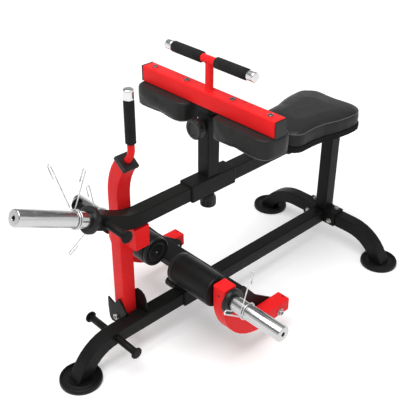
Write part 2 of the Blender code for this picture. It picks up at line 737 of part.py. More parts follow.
def clip(name, middle, axis, across, feet, tips, turns, side):
    """A spring clip: a coil of wire round the horn and two handles, in one piece.

    Feet are the angles where the handles leave the coil, in degrees from the direction across.
    Tips are the handles' far ends: across, upwards and along the axis, from the coil's middle.
    """
    axis = Vector(axis)
    first = Vector(across)
    second = (Vector((0, 0, 1)) - axis * axis.z).normalized()
    radius = HORN_RADIUS + WIRE_RADIUS + CLIP_GRIP_GAP
    start = math.radians(feet[0])
    sweep = math.radians(feet[1] - feet[0]) + math.tau * turns
    length = CLIP_PITCH * sweep / math.tau
    count = round(CLIP_LOOP_POINTS * sweep / math.tau)

    def spot(across_by, up_by, along_by):
        """A point measured from the coil's middle."""
        return Vector(middle) + first * across_by + second * up_by + axis * along_by

    def handle(root, leaving, tip):
        """A leg with a rounded bend at its foot and an eye bent back at its tip."""
        bend = root + leaving * CLIP_FOOT_BEND
        lean = (tip - bend).normalized()
        out = (second * lean.dot(first) - first * lean.dot(second)).normalized() * side
        points = []
        for share in (0.34, 0.67, 1.0):
            points.append(root.lerp(bend, share).lerp(bend.lerp(bend + lean * CLIP_FOOT_BEND, share), share))
        points.append(tip)
        centre = tip + out * CLIP_EYE_RADIUS
        for k in range(1, CLIP_EYE_POINTS + 1):
            turn = math.pi * k / CLIP_EYE_POINTS
            points.append(centre + (lean * math.sin(turn) - out * math.cos(turn)) * CLIP_EYE_RADIUS)
        points.append(points[-1] - lean * CLIP_RETURN)
        return points

    coil = []
    for k in range(count + 1):
        angle = start + sweep * k / count
        coil.append(spot(radius * math.cos(angle), radius * math.sin(angle), length * (k / count - 0.5)))
    before = handle(coil[0], (coil[0] - coil[1]).normalized(), spot(*tips[0]))
    after = handle(coil[-1], (coil[-1] - coil[-2]).normalized(), spot(*tips[1]))
    path = list(reversed(before)) + coil + after
    wire = round_tube(name, path, WIRE_RADIUS, "chrome", 1)
    print(name, "least gap to itself", round(1000.0 * least_gap(path), 2), "mm")
    return wire


def least_gap(path):
    """The least space between far stretches of a wire's path, less its thickness."""
    fine = []
    for a, b in zip(path, path[1:]):
        fine += [a.lerp(b, k / 6.0) for k in range(6)]
    walked = [0.0]
    for a, b in zip(fine, fine[1:]):
        walked.append(walked[-1] + (b - a).length)
    near = min((fine[i] - fine[j]).length for i in range(len(fine)) for j in range(i + 1, len(fine))
               if walked[j] - walked[i] > math.pi * 3.0 * WIRE_RADIUS)
    return near - 2.0 * WIRE_RADIUS


# Catch

def grip(name, origin, axis, length, bore, radius):
    """A foam sleeve on a tube."""
    profile = ring_profile(bore + WELD_GAP, radius, 0.0, length, GRIP_SHOULDER)
    return turned(name, profile, origin, axis, "foam")


def end_cap(name, origin, axis, length):
    """A polished plug on the end of a handle."""
    edge = END_CAP_EDGE
    profile = [(0.0, length), (END_CAP_RADIUS - edge, length), (END_CAP_RADIUS, length - edge),
               (END_CAP_RADIUS, edge), (END_CAP_RADIUS - edge, 0.0), (0.0, 0.0)]
    return turned(name, profile, origin, axis, "chrome")


def catch_plates():
    """Two plates bolted to the base's top and left side, and the bolt that the post turns on."""
    side = -HALF - WELD_GAP
    top = BASE_TOP + WELD_GAP
    left = list(CATCH_PLATE_LEFT) + [(side, BASE_Z - HALF + 0.002), (side, top)]
    hole = rod("catch_bolt_hole", (CATCH_PIVOT_X, CATCH_Y - 0.1, CATCH_PIVOT_Z), (0, 1, 0),
               CATCH_BOLT_RADIUS + WELD_GAP, 0.2, None, BOLT_STEPS)
    near = HALF + CATCH_PLATE_GAP
    front = near - CATCH_Y
    outline = [(-CATCH_FRONT_CORNER, top)] + list(CATCH_FRONT_LOBE) + left
    cut(flat("catch_plate_front", outline, "xz", front, front + PLATE, "black"), hole)
    rear = -CATCH_Y - near
    outline = [(CATCH_REAR_CORNER, top)] + list(CATCH_REAR_LOBE) + left
    cut(flat("catch_plate_rear", outline, "xz", rear - PLATE, rear, "black"), hole)
    reach = near + PLATE + WELD_GAP
    bolt("catch_pivot_bolt", CATCH_BOLT_RADIUS, -reach, reach, BOLT_HEAD,
         (CATCH_PIVOT_X, CATCH_Y, CATCH_PIVOT_Z), (0, -1, 0))


def catch():
    """The catch post with its cradle, cap and handle."""
    foot_z = CATCH_PIVOT_Z - CATCH_FOOT
    bend_end = Vector((CATCH_X + CATCH_BEND_RADIUS * (1.0 - math.cos(CATCH_BEND_ANGLE)),
                       CATCH_BEND_START_Z + CATCH_BEND_RADIUS * math.sin(CATCH_BEND_ANGLE)))
    lean = Vector((math.sin(CATCH_BEND_ANGLE), math.cos(CATCH_BEND_ANGLE)))
    tip = bend_end + lean * CATCH_TIP
    corner_z = CATCH_BEND_START_Z + CATCH_BEND_RADIUS * math.tan(CATCH_BEND_ANGLE / 2.0)
    walked = bent_path([(CATCH_X, foot_z), (CATCH_X, corner_z), tuple(tip)], [CATCH_BEND_RADIUS])
    post = flat("catch_post", bar_outline(walked, HALF), "xz", -CATCH_Y - HALF, -CATCH_Y + HALF, "red",
                TUBE_EDGE)
    cut(post, rod("catch_post_hole", (CATCH_PIVOT_X, CATCH_Y - 0.1, CATCH_PIVOT_Z), (0, 1, 0),
                  CATCH_BOLT_RADIUS + WELD_GAP, 0.2, None, BOLT_STEPS))

    underside = LEVER_Z - HALF - WELD_GAP
    rise = underside - CATCH_PIVOT_Z
    reach = math.hypot(rise, -HALF - CATCH_PIVOT_X)
    left, right = CATCH_X + HALF + WELD_GAP, CRADLE_RIGHT_X
    start = math.degrees(math.acos((right - CATCH_PIVOT_X) / reach))
    stop = math.degrees(math.asin(rise / reach))
    arched = arc((CATCH_PIVOT_X, CATCH_PIVOT_Z), reach, start, stop, 6)
    outline = [(left, CRADLE_BOTTOM), (right, CRADLE_BOTTOM)] + arched + [(left, underside)]
    cradle = flat("catch_cradle", outline, "xz", -CRADLE_REAR_Y, -CRADLE_FRONT_Y, "red")

    seat_point = Vector((tip.x, CATCH_Y, tip.y))
    along = Vector((lean.x, 0.0, lean.y))
    cap = box("catch_cap", (-CAP_HALF, -CAP_HALF, 0.0), (CAP_HALF, CAP_HALF, CAP_THICK), "plastic", 0.004)
    cap.matrix_world = pointing(seat_point + along * (WELD_GAP + CAP_THICK / 2.0), along)

    root = seat_point + along * (2.0 * WELD_GAP + CAP_THICK)
    to_corner = (HANDLE_X - root.x) / lean.x
    handle_corner = root + along * to_corner
    walked = bent_path([(root.x, root.z), (handle_corner.x, handle_corner.z), (HANDLE_X, CATCH_GRIP_TOP)],
                       [HANDLE_BEND_RADIUS])
    path = [(point.x, CATCH_Y, point.y) for point, heading in walked]
    handle = round_tube("catch_handle_tube", path, HANDLE_RADIUS, "red")
    top = (HANDLE_X, CATCH_Y, CATCH_GRIP_BOTTOM)
    foam = grip("catch_grip", top, (0, 0, 1), CATCH_GRIP_TOP - CATCH_GRIP_BOTTOM, HANDLE_RADIUS, GRIP_RADIUS)
    plug = end_cap("catch_end_cap", (HANDLE_X, CATCH_Y, CATCH_GRIP_TOP + WELD_GAP), (0, 0, 1),
                   CATCH_END_CAP_TOP - CATCH_GRIP_TOP)
    holder = pivot("catch_pivot", (CATCH_PIVOT_X, CATCH_Y, CATCH_PIVOT_Z))
    carry(holder, post, cradle, cap, handle, foam, plug)


# Thigh pads

def knob_profile(radius, thick, neck, pin):
    """A knob with a dished face and fluted waist on a spring pin, its face at the top."""
    dish = thick - KNOB_DISH_DEPTH
    return [(0.0, dish), (radius * KNOB_DISH[0], dish), (radius * KNOB_DISH[1], thick),
            (radius - KNOB_EDGE, thick), (radius, thick - KNOB_EDGE), (radius, thick * KNOB_WAIST),
            (radius * KNOB_FOOT, 0.0), (PIN_RADIUS, 0.0), (PIN_RADIUS, -neck - pin), (0.0, -neck - pin)]


def pull_knob(name, origin, axis, radius, thick, neck, pin):
    """A spring pin with its knob. Origin is at the knob's foot, the pin runs backwards."""
    return turned(name, knob_profile(radius, thick, neck, pin), origin, axis, "plastic", KNOB_FACETS)


def bushed(item, origin, axis):
    """Weld a pull pin's bush on a piece and drill it."""
    origin, axis = Vector(origin), Vector(axis)
    join(item, rod(item.name + "_bush", origin - axis * 0.002, axis, PIN_BUSH_RADIUS,
                   PIN_BUSH_LENGTH + 0.002, None, KNOB_FACETS))
    return cut(item, rod(item.name + "_pin_hole", origin - axis * 0.02, axis, PIN_RADIUS + WELD_GAP,
                         PIN_BUSH_LENGTH + 0.04, None, BOLT_STEPS))


def pad_carriage():
    """A sleeve on the lever, with the outer post welded on it."""
    sleeve = box("pad_carriage", (-SLEEVE_OUT, PAD_Y - CARRIAGE_HALF_LENGTH, LEVER_Z - SLEEVE_OUT),
                 (SLEEVE_OUT, PAD_Y + CARRIAGE_HALF_LENGTH, LEVER_Z + SLEEVE_OUT), "black", TUBE_EDGE)
    sleeve_top = LEVER_Z + SLEEVE_OUT
    join(sleeve, box("outer_post", (-HALF, PAD_Y - HALF, sleeve_top - 0.003),
                     (HALF, PAD_Y + HALF, OUTER_POST_TOP), None, TUBE_EDGE))
    cut(sleeve, box("lever_bore", (-SLEEVE_IN, PAD_Y - CARRIAGE_HALF_LENGTH - 0.01, LEVER_Z - SLEEVE_IN),
                    (SLEEVE_IN, PAD_Y + CARRIAGE_HALF_LENGTH + 0.01, LEVER_Z + SLEEVE_IN)))
    bore = HALF - POST_WALL
    cut(sleeve, box("post_bore", (-bore, PAD_Y - bore, sleeve_top + 0.003),
                    (bore, PAD_Y + bore, OUTER_POST_TOP + 0.01)))
    bushed(sleeve, (0, PAD_Y - HALF, HEIGHT_KNOB_Z), (0, -1, 0))
    bushed(sleeve, (0, PAD_Y, LEVER_Z - SLEEVE_OUT), (0, 0, -1))
    neck = PIN_BUSH_LENGTH + WELD_GAP
    height_knob = pull_knob("height_knob", (0, PAD_Y - HALF - neck, HEIGHT_KNOB_Z), (0, -1, 0),
                            HEIGHT_KNOB_RADIUS, HEIGHT_KNOB_THICK, neck, POST_WALL)
    slide_knob = pull_knob("carriage_knob", (0, PAD_Y, LEVER_Z - SLEEVE_OUT - neck), (0, 0, -1),
                           CARRIAGE_KNOB_RADIUS, CARRIAGE_KNOB_THICK, neck, SLEEVE_WALL)
    return sleeve, height_knob, slide_knob


def rounded_rectangle(low, high, corner, count=3):
    """A rectangle's outline with round corners."""
    (x0, y0), (x1, y1) = low, high
    points = []
    for cx, cy, start in ((x1 - corner, y0 + corner, -90), (x1 - corner, y1 - corner, 0),
                          (x0 + corner, y1 - corner, 90), (x0 + corner, y0 + corner, 180)):
        points += arc((cx, cy), corner, start, start + 90, count)
    return points


def pad_post():
    """The inner post, the thigh bar with its plugs, the pads and the T handle."""
    half = HALF - POST_WALL - INNER_POST_GAP
    inner = box("pad_inner_post", (-half, PAD_Y - half, INNER_POST_BOTTOM),
                (half, PAD_Y + half, BAR_BOTTOM - WELD_GAP), "black", 0.002)
    for k in range(KNOB_STEPS + 1):
        height = HEIGHT_KNOB_Z - KNOB_STEP * k
        cut(inner, rod(f"height_hole_{k}", (0, PAD_Y - half - 0.01, height), (0, 1, 0),
                       PIN_RADIUS + WELD_GAP, 0.018, None, BOLT_STEPS))
    bar_end = BAR_HALF_LENGTH - BAR_PLUG_THICK - WELD_GAP
    depth = BAR_DEPTH / 2.0
    bar_top = BAR_BOTTOM + BAR_HEIGHT
    bar = box("thigh_bar", (-bar_end, PAD_Y - depth, BAR_BOTTOM), (bar_end, PAD_Y + depth, bar_top),
              "red", TUBE_EDGE)
    pieces = [inner, bar]
    pad_top = BAR_BOTTOM - WELD_GAP
    for side, word in ((-1.0, "left"), (1.0, "right")):
        near, far = sorted((side * (bar_end + WELD_GAP), side * BAR_HALF_LENGTH))
        pieces.append(box(word + "_bar_plug", (near, PAD_Y - depth, BAR_BOTTOM), (far, PAD_Y + depth, bar_top),
                          "plastic", 0.0015, 1))
        near, far = sorted((side * PAD_INNER_X, side * PAD_OUTER_X))
        outline = rounded_rectangle((near, PAD_Y - PAD_HALF_DEPTH), (far, PAD_Y + PAD_HALF_DEPTH), PAD_CORNER)
        pieces.append(crowned(word + "_thigh_pad", outline, pad_top, PAD_THICK - PAD_CROWN, PAD_CROWN,
                              "vinyl", -1.0))
    handle = rod("t_handle", (0, PAD_Y, bar_top + WELD_GAP), (0, 0, 1), T_HANDLE_RADIUS,
                 T_HANDLE_Z - bar_top, "red")
    join(handle, rod("t_handle_bar", (-T_GRIP_END, PAD_Y, T_HANDLE_Z), (1, 0, 0), T_HANDLE_RADIUS,
                     2.0 * T_GRIP_END))
    pieces.append(handle)
    for side, word in ((-1.0, "left"), (1.0, "right")):
        pieces.append(grip(word + "_handle_grip", (side * T_GRIP_START, PAD_Y, T_HANDLE_Z), (side, 0, 0),
                           T_GRIP_END - T_GRIP_START, T_HANDLE_RADIUS, T_GRIP_RADIUS))
        pieces.append(end_cap(word + "_handle_cap", (side * (T_GRIP_END + WELD_GAP), PAD_Y, T_HANDLE_Z),
                              (side, 0, 0), T_CAP_LENGTH))
    return pieces


# Foot unit

def foot_carriage():
    """A sleeve on the base tube with a short post, and its pull pin on the left."""
    middle = (FOOT_SLEEVE_FRONT_Y + FOOT_SLEEVE_REAR_Y) / 2.0
    sleeve = box("foot_carriage", (-SLEEVE_OUT, FOOT_SLEEVE_FRONT_Y, BASE_Z - SLEEVE_OUT),
                 (SLEEVE_OUT, FOOT_SLEEVE_REAR_Y, BASE_Z + SLEEVE_OUT), "black", TUBE_EDGE)
    join(sleeve, box("foot_post", (-HALF, middle - HALF, BASE_Z + SLEEVE_OUT - 0.003),
                     (HALF, middle + HALF, BEAM_TOP - BEAM_THICK - WELD_GAP), None, TUBE_EDGE))
    cut(sleeve, box("base_bore", (-SLEEVE_IN, FOOT_SLEEVE_FRONT_Y - 0.01, BASE_Z - SLEEVE_IN),
                    (SLEEVE_IN, FOOT_SLEEVE_REAR_Y + 0.01, BASE_Z + SLEEVE_IN)))
    pin_z = BASE_Z + CARRIAGE_PIN_RISE
    bushed(sleeve, (-SLEEVE_OUT, CARRIAGE_PIN_Y, pin_z), (-1, 0, 0))
    neck = PIN_BUSH_LENGTH + WELD_GAP
    pull_knob("foot_pull_pin", (-SLEEVE_OUT - neck, CARRIAGE_PIN_Y, pin_z), (-1, 0, 0),
              CARRIAGE_PIN_KNOB_RADIUS, CARRIAGE_PIN_KNOB_THICK, neck, SLEEVE_WALL)


def footrest():
    """The footrest beam and the two side plates that carry the swing arms."""
    plate_in = ARM_INNER_X - ARM_GAP - PLATE
    beam_end = plate_in - WELD_GAP
    bottom = BEAM_TOP - BEAM_THICK
    box("footrest_beam", (-beam_end, BEAM_FRONT_Y, bottom), (beam_end, BEAM_REAR_Y, BEAM_TOP), "black", 0.003)
    stop_top = BASE_Z - HALF - WELD_GAP
    lobe = arc((ARM_PIVOT_Y, ARM_PIVOT_Z), ARM_LOBE, -90, 52, 8)
    outline = lobe + [SIDE_PLATE_BEND, (BEAM_REAR_Y, BEAM_TOP + SIDE_PLATE_LAP),
                      (BEAM_FRONT_Y, BEAM_TOP + SIDE_PLATE_LAP), (BEAM_FRONT_Y, bottom - SIDE_PLATE_DROP),
                      (ARM_STOP_FRONT_Y, stop_top - PLATE)]
    for side, word in ((-1.0, "left"), (1.0, "right")):
        near, far = sorted((side * plate_in, side * (plate_in + PLATE)))
        plate = flat(word + "_side_plate", outline, "yz", near, far, "black")
        near, far = sorted((side * (plate_in + PLATE * 0.5), side * (ARM_INNER_X + TUBE)))
        join(plate, box(word + "_stop_tab", (near, ARM_STOP_FRONT_Y + PLATE, stop_top - PLATE),
                        (far, ARM_STOP_REAR_Y, stop_top)))
        cut(plate, rod(word + "_plate_hole", (side * 0.2, ARM_PIVOT_Y, ARM_PIVOT_Z), (side, 0, 0),
                       ARM_BOLT_RADIUS + WELD_GAP, 0.1))
        bolt(word + "_swing_bolt", ARM_BOLT_RADIUS, plate_in - WELD_GAP, ARM_INNER_X + TUBE + ARM_GAP,
             BOLT_HEAD, (0.0, ARM_PIVOT_Y, ARM_PIVOT_Z), (side, 0, 0), WASHER_THICK)


def swing_arm(side, word):
    """One swing arm with its collar and horn, which ends in the roller's spindle, and the roller."""
    corner_y = ARM_VERTICAL_Y
    walked = bent_path([(ARM_REAR_Y, ARM_LOW_Z), (corner_y, ARM_LOW_Z), (corner_y, ARM_TOP_Z)],
                       [ARM_BEND_RADIUS])
    near, far = sorted((side * ARM_INNER_X, side * (ARM_INNER_X + TUBE)))
    arm = flat(word + "_swing_arm", bar_outline(walked, HALF), "yz", near, far, "red", TUBE_EDGE)
    cut(arm, rod(word + "_arm_pivot_hole", (side * 0.2, ARM_PIVOT_Y, ARM_PIVOT_Z), (side, 0, 0),
                 ARM_BOLT_RADIUS + WELD_GAP, 0.15))
    cut(arm, rod(word + "_spindle_hole", (side * 0.2, ARM_VERTICAL_Y, SIDE_HORN_Z), (side, 0, 0),
                 SPINDLE_RADIUS + WELD_GAP, 0.15))
    collar_root = Vector((side * (ARM_INNER_X + TUBE + WELD_GAP), ARM_VERTICAL_Y, SIDE_HORN_Z))
    axis = Vector((side, 0.0, 0.0))
    stop = collar(word + "_collar", collar_root, axis, SIDE_COLLAR_HUB)
    horn_root = collar_root + axis * (COLLAR_FLANGE + SIDE_COLLAR_HUB + WELD_GAP)
    length = SIDE_HORN_END_X - abs(horn_root.x)
    spindle_end = ROLLER_INNER_X + ROLLER_CAP + SPINDLE_RECESS
    bar = horn(word + "_horn", horn_root, axis, length, abs(horn_root.x) - spindle_end)
    holder = pivot(word + "_arm_pivot", (side * ARM_INNER_X, ARM_PIVOT_Y, ARM_PIVOT_Z))
    carry(holder, arm, stop, bar)
    roller(side, word)
    feet, tips = (RIGHT_CLIP_FEET, RIGHT_CLIP_TIPS) if side > 0 else (LEFT_CLIP_FEET, LEFT_CLIP_TIPS)
    clip(word + "_clip", horn_root + axis * SIDE_CLIP_REACH, axis, (0, 1, 0), feet, tips,
         SIDE_CLIP_TURNS, -side)


def roller(side, word):
    """A roller on the inner end of the spindle, with a ringed cap and its bolt."""
    bore = SPINDLE_RADIUS + RUNNING_GAP
    root = Vector((side * (ROLLER_INNER_X + ROLLER_CAP + WELD_GAP), ARM_VERTICAL_Y, SIDE_HORN_Z))
    length = ROLLER_OUTER_X - abs(root.x)
    turned(word + "_roller", ring_profile(bore, ROLLER_RADIUS, 0.0, length, ROLLER_EDGE), root, (side, 0, 0),
           "rubber", DISC_STEPS)
    face = ROLLER_CAP
    pocket_radius, pocket_depth = CAP_POCKET
    groove_in, groove_out, groove = CAP_GROOVE
    rim = ROLLER_RADIUS - CAP_RIM_INSET
    profile = [(0.0, face + CAP_BOLT_RISE), (CAP_BOLT_RADIUS, face + CAP_BOLT_RISE),
               (CAP_BOLT_RADIUS, face - pocket_depth), (pocket_radius, face - pocket_depth),
               (groove_in, face - groove), (groove_out, face - groove), (CAP_RIM_START, face),
               (rim - CAP_RIM_EDGE, face), (rim, face - CAP_RIM_EDGE), (rim, 0.0), (0.0, 0.0)]
    cap_root = Vector((side * (ROLLER_INNER_X + ROLLER_CAP), ARM_VERTICAL_Y, SIDE_HORN_Z))
    turned(word + "_roller_cap", profile, cap_root, (-side, 0, 0), "plastic", DISC_STEPS)


def centre_on_floor():
    """Move the machine so that the middle of its footprint is the origin."""
    bpy.context.view_layer.update()
    depsgraph = bpy.context.evaluated_depsgraph_get()
    reach = []
    for item in PARTS.objects:
        if item.type == "MESH":
            solid = item.evaluated_get(depsgraph)
            reach += [(item.matrix_world @ Vector(corner)).y for corner in solid.bound_box]
    middle = (min(reach) + max(reach)) / 2.0
    for item in list(PARTS.objects) + list(CUTTERS.objects):
        if item.parent is None:
            item.location.y -= middle
    print("front", round(min(reach), 4), "rear", round(max(reach), 4), "middle", round(middle, 5))


def main():
    """Build the machine."""
    clear_scene()
    base_frame()
    seat_frame()
    seat()
    lever()
    band_peg("base_band_peg", (0.0, BASE_PEG_Y, BASE_Z))
    catch_plates()
    catch()
    pad_carriage()
    pad_post()
    foot_carriage()
    footrest()
    swing_arm(-1.0, "left")
    swing_arm(1.0, "right")
    centre_on_floor()


main()
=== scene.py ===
"""Seated calf raise machine: the looks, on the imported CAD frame.

Runs in Blender 4.5. Metres, +Z up, +Y from the front foot to the seat.
"""

import json
import math

import bmesh
import bpy
from bpy.props import FloatProperty, FloatVectorProperty, IntProperty, PointerProperty
from mathutils import Matrix, Vector


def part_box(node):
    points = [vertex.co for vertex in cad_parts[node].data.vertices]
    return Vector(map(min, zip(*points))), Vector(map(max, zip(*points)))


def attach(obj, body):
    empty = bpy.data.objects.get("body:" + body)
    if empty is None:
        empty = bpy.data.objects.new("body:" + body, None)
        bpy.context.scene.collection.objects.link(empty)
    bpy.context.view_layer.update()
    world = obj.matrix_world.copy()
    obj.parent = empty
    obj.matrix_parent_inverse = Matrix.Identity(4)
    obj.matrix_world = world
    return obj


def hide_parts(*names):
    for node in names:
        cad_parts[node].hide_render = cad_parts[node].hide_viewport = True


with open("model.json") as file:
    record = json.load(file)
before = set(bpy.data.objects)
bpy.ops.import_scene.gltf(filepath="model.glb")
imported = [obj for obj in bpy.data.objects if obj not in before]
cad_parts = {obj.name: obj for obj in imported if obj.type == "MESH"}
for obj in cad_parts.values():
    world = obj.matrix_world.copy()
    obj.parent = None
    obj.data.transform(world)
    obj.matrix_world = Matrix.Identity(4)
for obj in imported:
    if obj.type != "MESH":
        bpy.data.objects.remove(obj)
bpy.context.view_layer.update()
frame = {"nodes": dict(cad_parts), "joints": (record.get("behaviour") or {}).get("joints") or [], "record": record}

bl_info = {
    "name": "Seated calf raise machine",
    "version": (1, 0, 0),
    "blender": (4, 5, 0),
    "location": "3D View > Sidebar > Calf Raise",
    "description": "Finishes the pieces of a plate-loaded seated calf raise machine",
    "category": "Object",
}

BODY_OF = {node: body for body, nodes in frame["record"]["behaviour"]["bodies"].items() for node in nodes}
SLOT_OF = {row["node"]: row["material_slot"] for row in frame["record"]["subparts"]}

# Nodes whose shape is right and which only need their faces merged and shaded
WELDED_NODES = (
    "base_tube", "rear_leg", "rear_angle_plate", "seat_post", "seat_bracket", "lever_arm",
    "catch_plate_front", "catch_plate_rear", "pad_carriage", "pad_inner_post", "foot_carriage",
    "footrest_beam", "left_side_plate", "right_side_plate", "seat_board",
)
RED_NODES = ("catch_post", "catch_cradle", "thigh_bar", "left_swing_arm", "right_swing_arm")
PLASTIC_NODES = ("catch_cap", "left_bar_plug", "right_bar_plug")
TURNED_NODES = (
    "lever_band_peg", "base_band_peg", "catch_end_cap", "left_handle_cap", "right_handle_cap",
    "catch_grip", "left_handle_grip", "right_handle_grip",
)
WIRE_NODES = ("front_clip", "left_clip", "right_clip", "catch_handle_tube")
CUSHIONS = (("seat_cushion", 1.0), ("left_thigh_pad", -1.0), ("right_thigh_pad", -1.0))
FEET = ("front_foot", "rear_left_foot", "rear_right_foot")
SIDES = (("left", -1.0), ("right", 1.0))
LEVER_RISE = math.radians(25.5)
CRADLE_EDGE = 0.0012

# Each horn with its collar, the way that it points and the length of the collar's hub
HORNS = (
    ("front_horn", "front_collar", (0.0, -math.cos(LEVER_RISE), math.sin(LEVER_RISE)), 0.01),
    ("left_horn", "left_collar", (-1.0, 0.0, 0.0), 0.002),
    ("right_horn", "right_collar", (1.0, 0.0, 0.0), 0.002),
)
HORN_RADIUS = 0.025
SPINDLE_RADIUS = 0.0125
BORE_RADIUS = 0.0129
COLLAR_RADIUS = 0.042
COLLAR_HUB_RADIUS = 0.033

# The groove near each end of a roller: inside its radius, and from its end
ROLLER_GROOVE = ((0.0, 0.0095), (0.0007, 0.0105), (0.0007, 0.012), (0.0, 0.013))

# A weld round a 50 mm tube: half its side, its cut corner and the length of a ripple
WELD_HALF = 0.0253
WELD_CORNER = 0.003
WELD_RIPPLE = 0.005

# How many ripples a weld round the T handle's tube has
ROUND_RIPPLES = 40

# Beside its post, a carriage sleeve's top ends between these distances from the machine's middle
SLEEVE_EDGE = (0.027, 0.0312)

# Each pivot bolt's axis, how far its heads stand out, and a head's share of its washer's width
PIVOT_BOLTS = (
    ("lever_pivot_bolt", (1, 0, 0), 0.007, 0.98),
    ("catch_pivot_bolt", (0, -1, 0), 0.007, 0.98),
    ("left_swing_bolt", (-1, 0, 0), 0.009, 0.75),
    ("right_swing_bolt", (1, 0, 0), 0.009, 0.75),
)

# Each plunger's axis, the length of its pin, its flutes, and the share of its face that is dished
KNOBS = (
    ("height_knob", (0, -1, 0), 0.0153, 18, 0.62),
    ("carriage_knob", (0, 0, -1), 0.0173, 16, 0.55),
    ("foot_pull_pin", (-1, 0, 0), 0.0173, 12, 0.5),
)

# The faces round one flute, and the part of its turn that is pressed in
FLUTE_FACES = 6
FLUTE_SPAN = (0.08, 0.42)

# The rear plate's bolts: left and right of its middle, in from its rear edge, and above the floor
PLATE_BOLT_X = 0.053
PLATE_BOLT_INSET = 0.013
PLATE_BOLT_Z = 0.0985
PLATE_BOLT_TURN = 0.2

# Radius and height of the thigh bar's screws and of the rollers' screws
BAR_SCREW = (0.0088, 0.0048)
ROLLER_SCREW = (0.0036, 0.0036)

# The places of the thigh bar's screws, and of the set screws on top and in front of each swing arm
BAR_SCREW_X = (-0.2485, -0.099, 0.099, 0.2485)
ARM_SCREW_X = 0.2646
ARM_SCREW_INSET = 0.0085
ARM_SCREW_Z = 0.3

# The piping's height: below the seat's top, and above the thigh pads' underside
SEAT_PIPING_DROP = 0.0105
PAD_PIPING_RISE = 0.01

# The padded covers: how much smaller the foam is, the voxel, and the depth that its backing board holds
FOAM_SHRINK = 0.003
FOAM_VOXEL = 0.005
BOARD_HOLD = 0.012
CLOTH_FRAMES = 20

# The camera and its target, in the frame that it was fitted in, where the lever's pivot is at PIVOT_Y
CAMERA_PLACE = (1.5222, -1.4003, 1.7621)
CAMERA_TARGET = (0.0553, 0.0, 0.4987)
CAMERA_ROLL = math.radians(0.213)
SENSOR_WIDTH = 36.0
PIVOT_Y = 0.455

# Each lamp's place, target and width
KEY_LAMP = ((0.25, -1.1, 4.1), (0.0, 0.0, 0.3), 2.9)
SIDE_LAMP = ((2.8, 0.4, 2.2), (0.0, 0.0, 0.4), 2.0)

# The floor's width, its place just under the feet, and its glow for the camera at the two reaches
FLOOR_SIZE = 60.0
FLOOR_DROP = 0.0004
GLOW_REACH = (1.0, 5.0)
GLOW = (0.3, 0.64)

# How light the room is that metal and the camera see, from its lowest part to straight overhead
ROOM_SHADES = ((0.3, 1.0), (0.42, 0.22), (0.68, 0.3), (0.86, 1.0))

# Noise rarely leaves this range, so colours and roughness run from end to end of it
NOISE_RANGE = (0.3, 0.7)

# Edges that bend more than this many degrees stay sharp
SHARP = 35.0

# The meshes of turned pieces and bolt heads, each modelled once and copied
PATTERNS = {}


# Selecting and finishing

def corners(node):
    """A node's lowest and highest corners at rest."""
    low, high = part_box(node)
    return Vector(low), Vector(high)


def middle_of(node):
    """The middle of a node's box."""
    low, high = corners(node)
    return (low + high) / 2.0


def only(piece):
    """Select one object and make it active."""
    bpy.ops.object.select_all(action="DESELECT")
    piece.select_set(True)
    bpy.context.view_layer.objects.active = piece


def edit(piece, action="SELECT"):
    """Open a piece in edit mode with everything selected, or nothing."""
    only(piece)
    bpy.ops.object.mode_set(mode="EDIT")
    bpy.ops.mesh.select_mode(type="VERT")
    bpy.ops.mesh.select_all(action=action)


def done():
    """Leave edit mode."""
    bpy.ops.object.mode_set(mode="OBJECT")


def apply_all(piece):
    """Apply a piece's modifiers in order."""
    only(piece)
    for step in [step.name for step in piece.modifiers]:
        bpy.ops.object.modifier_apply(modifier=step)


def smooth(piece, angle=SHARP):
    """Smooth shading below an angle."""
    only(piece)
    bpy.ops.object.shade_smooth_by_angle(angle=math.radians(angle))


def settle(piece):
    """Bake a piece's place into its mesh."""
    only(piece)
    bpy.ops.object.transform_apply(location=True, rotation=True, scale=True)


def add_to(node, piece, slot, look=None, replaced=()):
    """Let a piece ride with a CAD node, in a slot of the record, with that slot's look or another."""
    body = BODY_OF[node]
    piece.data.materials.clear()
    piece.data.materials.append(material_for(look or slot))
    if replaced:
        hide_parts(*replaced)
    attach(piece, body)


def stand_for(node, piece, look=None):
    """Let a piece take a CAD node's place."""
    add_to(node, piece, SLOT_OF[node], look, [node])


def linked(name, data):
    """An object for a mesh, a lamp or a camera, in the scene, with one name for both."""
    data.name = name
    made = bpy.data.objects.new(name, data)
    bpy.context.scene.collection.objects.link(made)
    return made


def copied(node, name):
    """A copy of a CAD node with its triangles merged and its flat faces whole."""
    piece = linked(name, frame["nodes"][node].data.copy())
    edit(piece)
    bpy.ops.mesh.remove_doubles(threshold=0.00001)
    bpy.ops.mesh.dissolve_limited(angle_limit=math.radians(0.6))
    done()
    return piece


def rounded(piece, levels):
    """Subdivide a faceted turned shape into a round one, with its corners kept."""
    edit(piece, "DESELECT")
    bpy.ops.mesh.edges_select_sharp(sharpness=math.radians(SHARP))
    bpy.ops.transform.edge_crease(value=1.0)
    done()
    subdivided(piece, levels)


def subdivided(piece, levels):
    """Make a mesh finer and rounder."""
    step = piece.modifiers.new("finer", "SUBSURF")
    step.levels = levels
    step.render_levels = levels
    apply_all(piece)


def spun(name, profile, origin, axis, steps):
    """A turned piece. The profile is (radius, height) from one end of the axis to the other."""
    kind = (steps, tuple((round(radius, 6), round(height, 6)) for radius, height in profile))
    return placed(name, kind, lambda: turned(profile, steps), origin, axis)


def turn_for(node, profile, origin, axis, steps, look=None):
    """Turn a piece that takes a CAD node's place."""
    stand_for(node, spun("turned_" + node, profile, origin, axis, steps), look)


def placed(name, kind, model, origin, axis, turn=0.0):
    """A copy of a pattern at its place. Each kind is modelled once, and each copy has its own mesh."""
    if kind not in PATTERNS:
        PATTERNS[kind] = model()
    mesh = PATTERNS[kind].copy()
    mesh.transform(facing(origin, axis, turn))
    return linked(name, mesh)


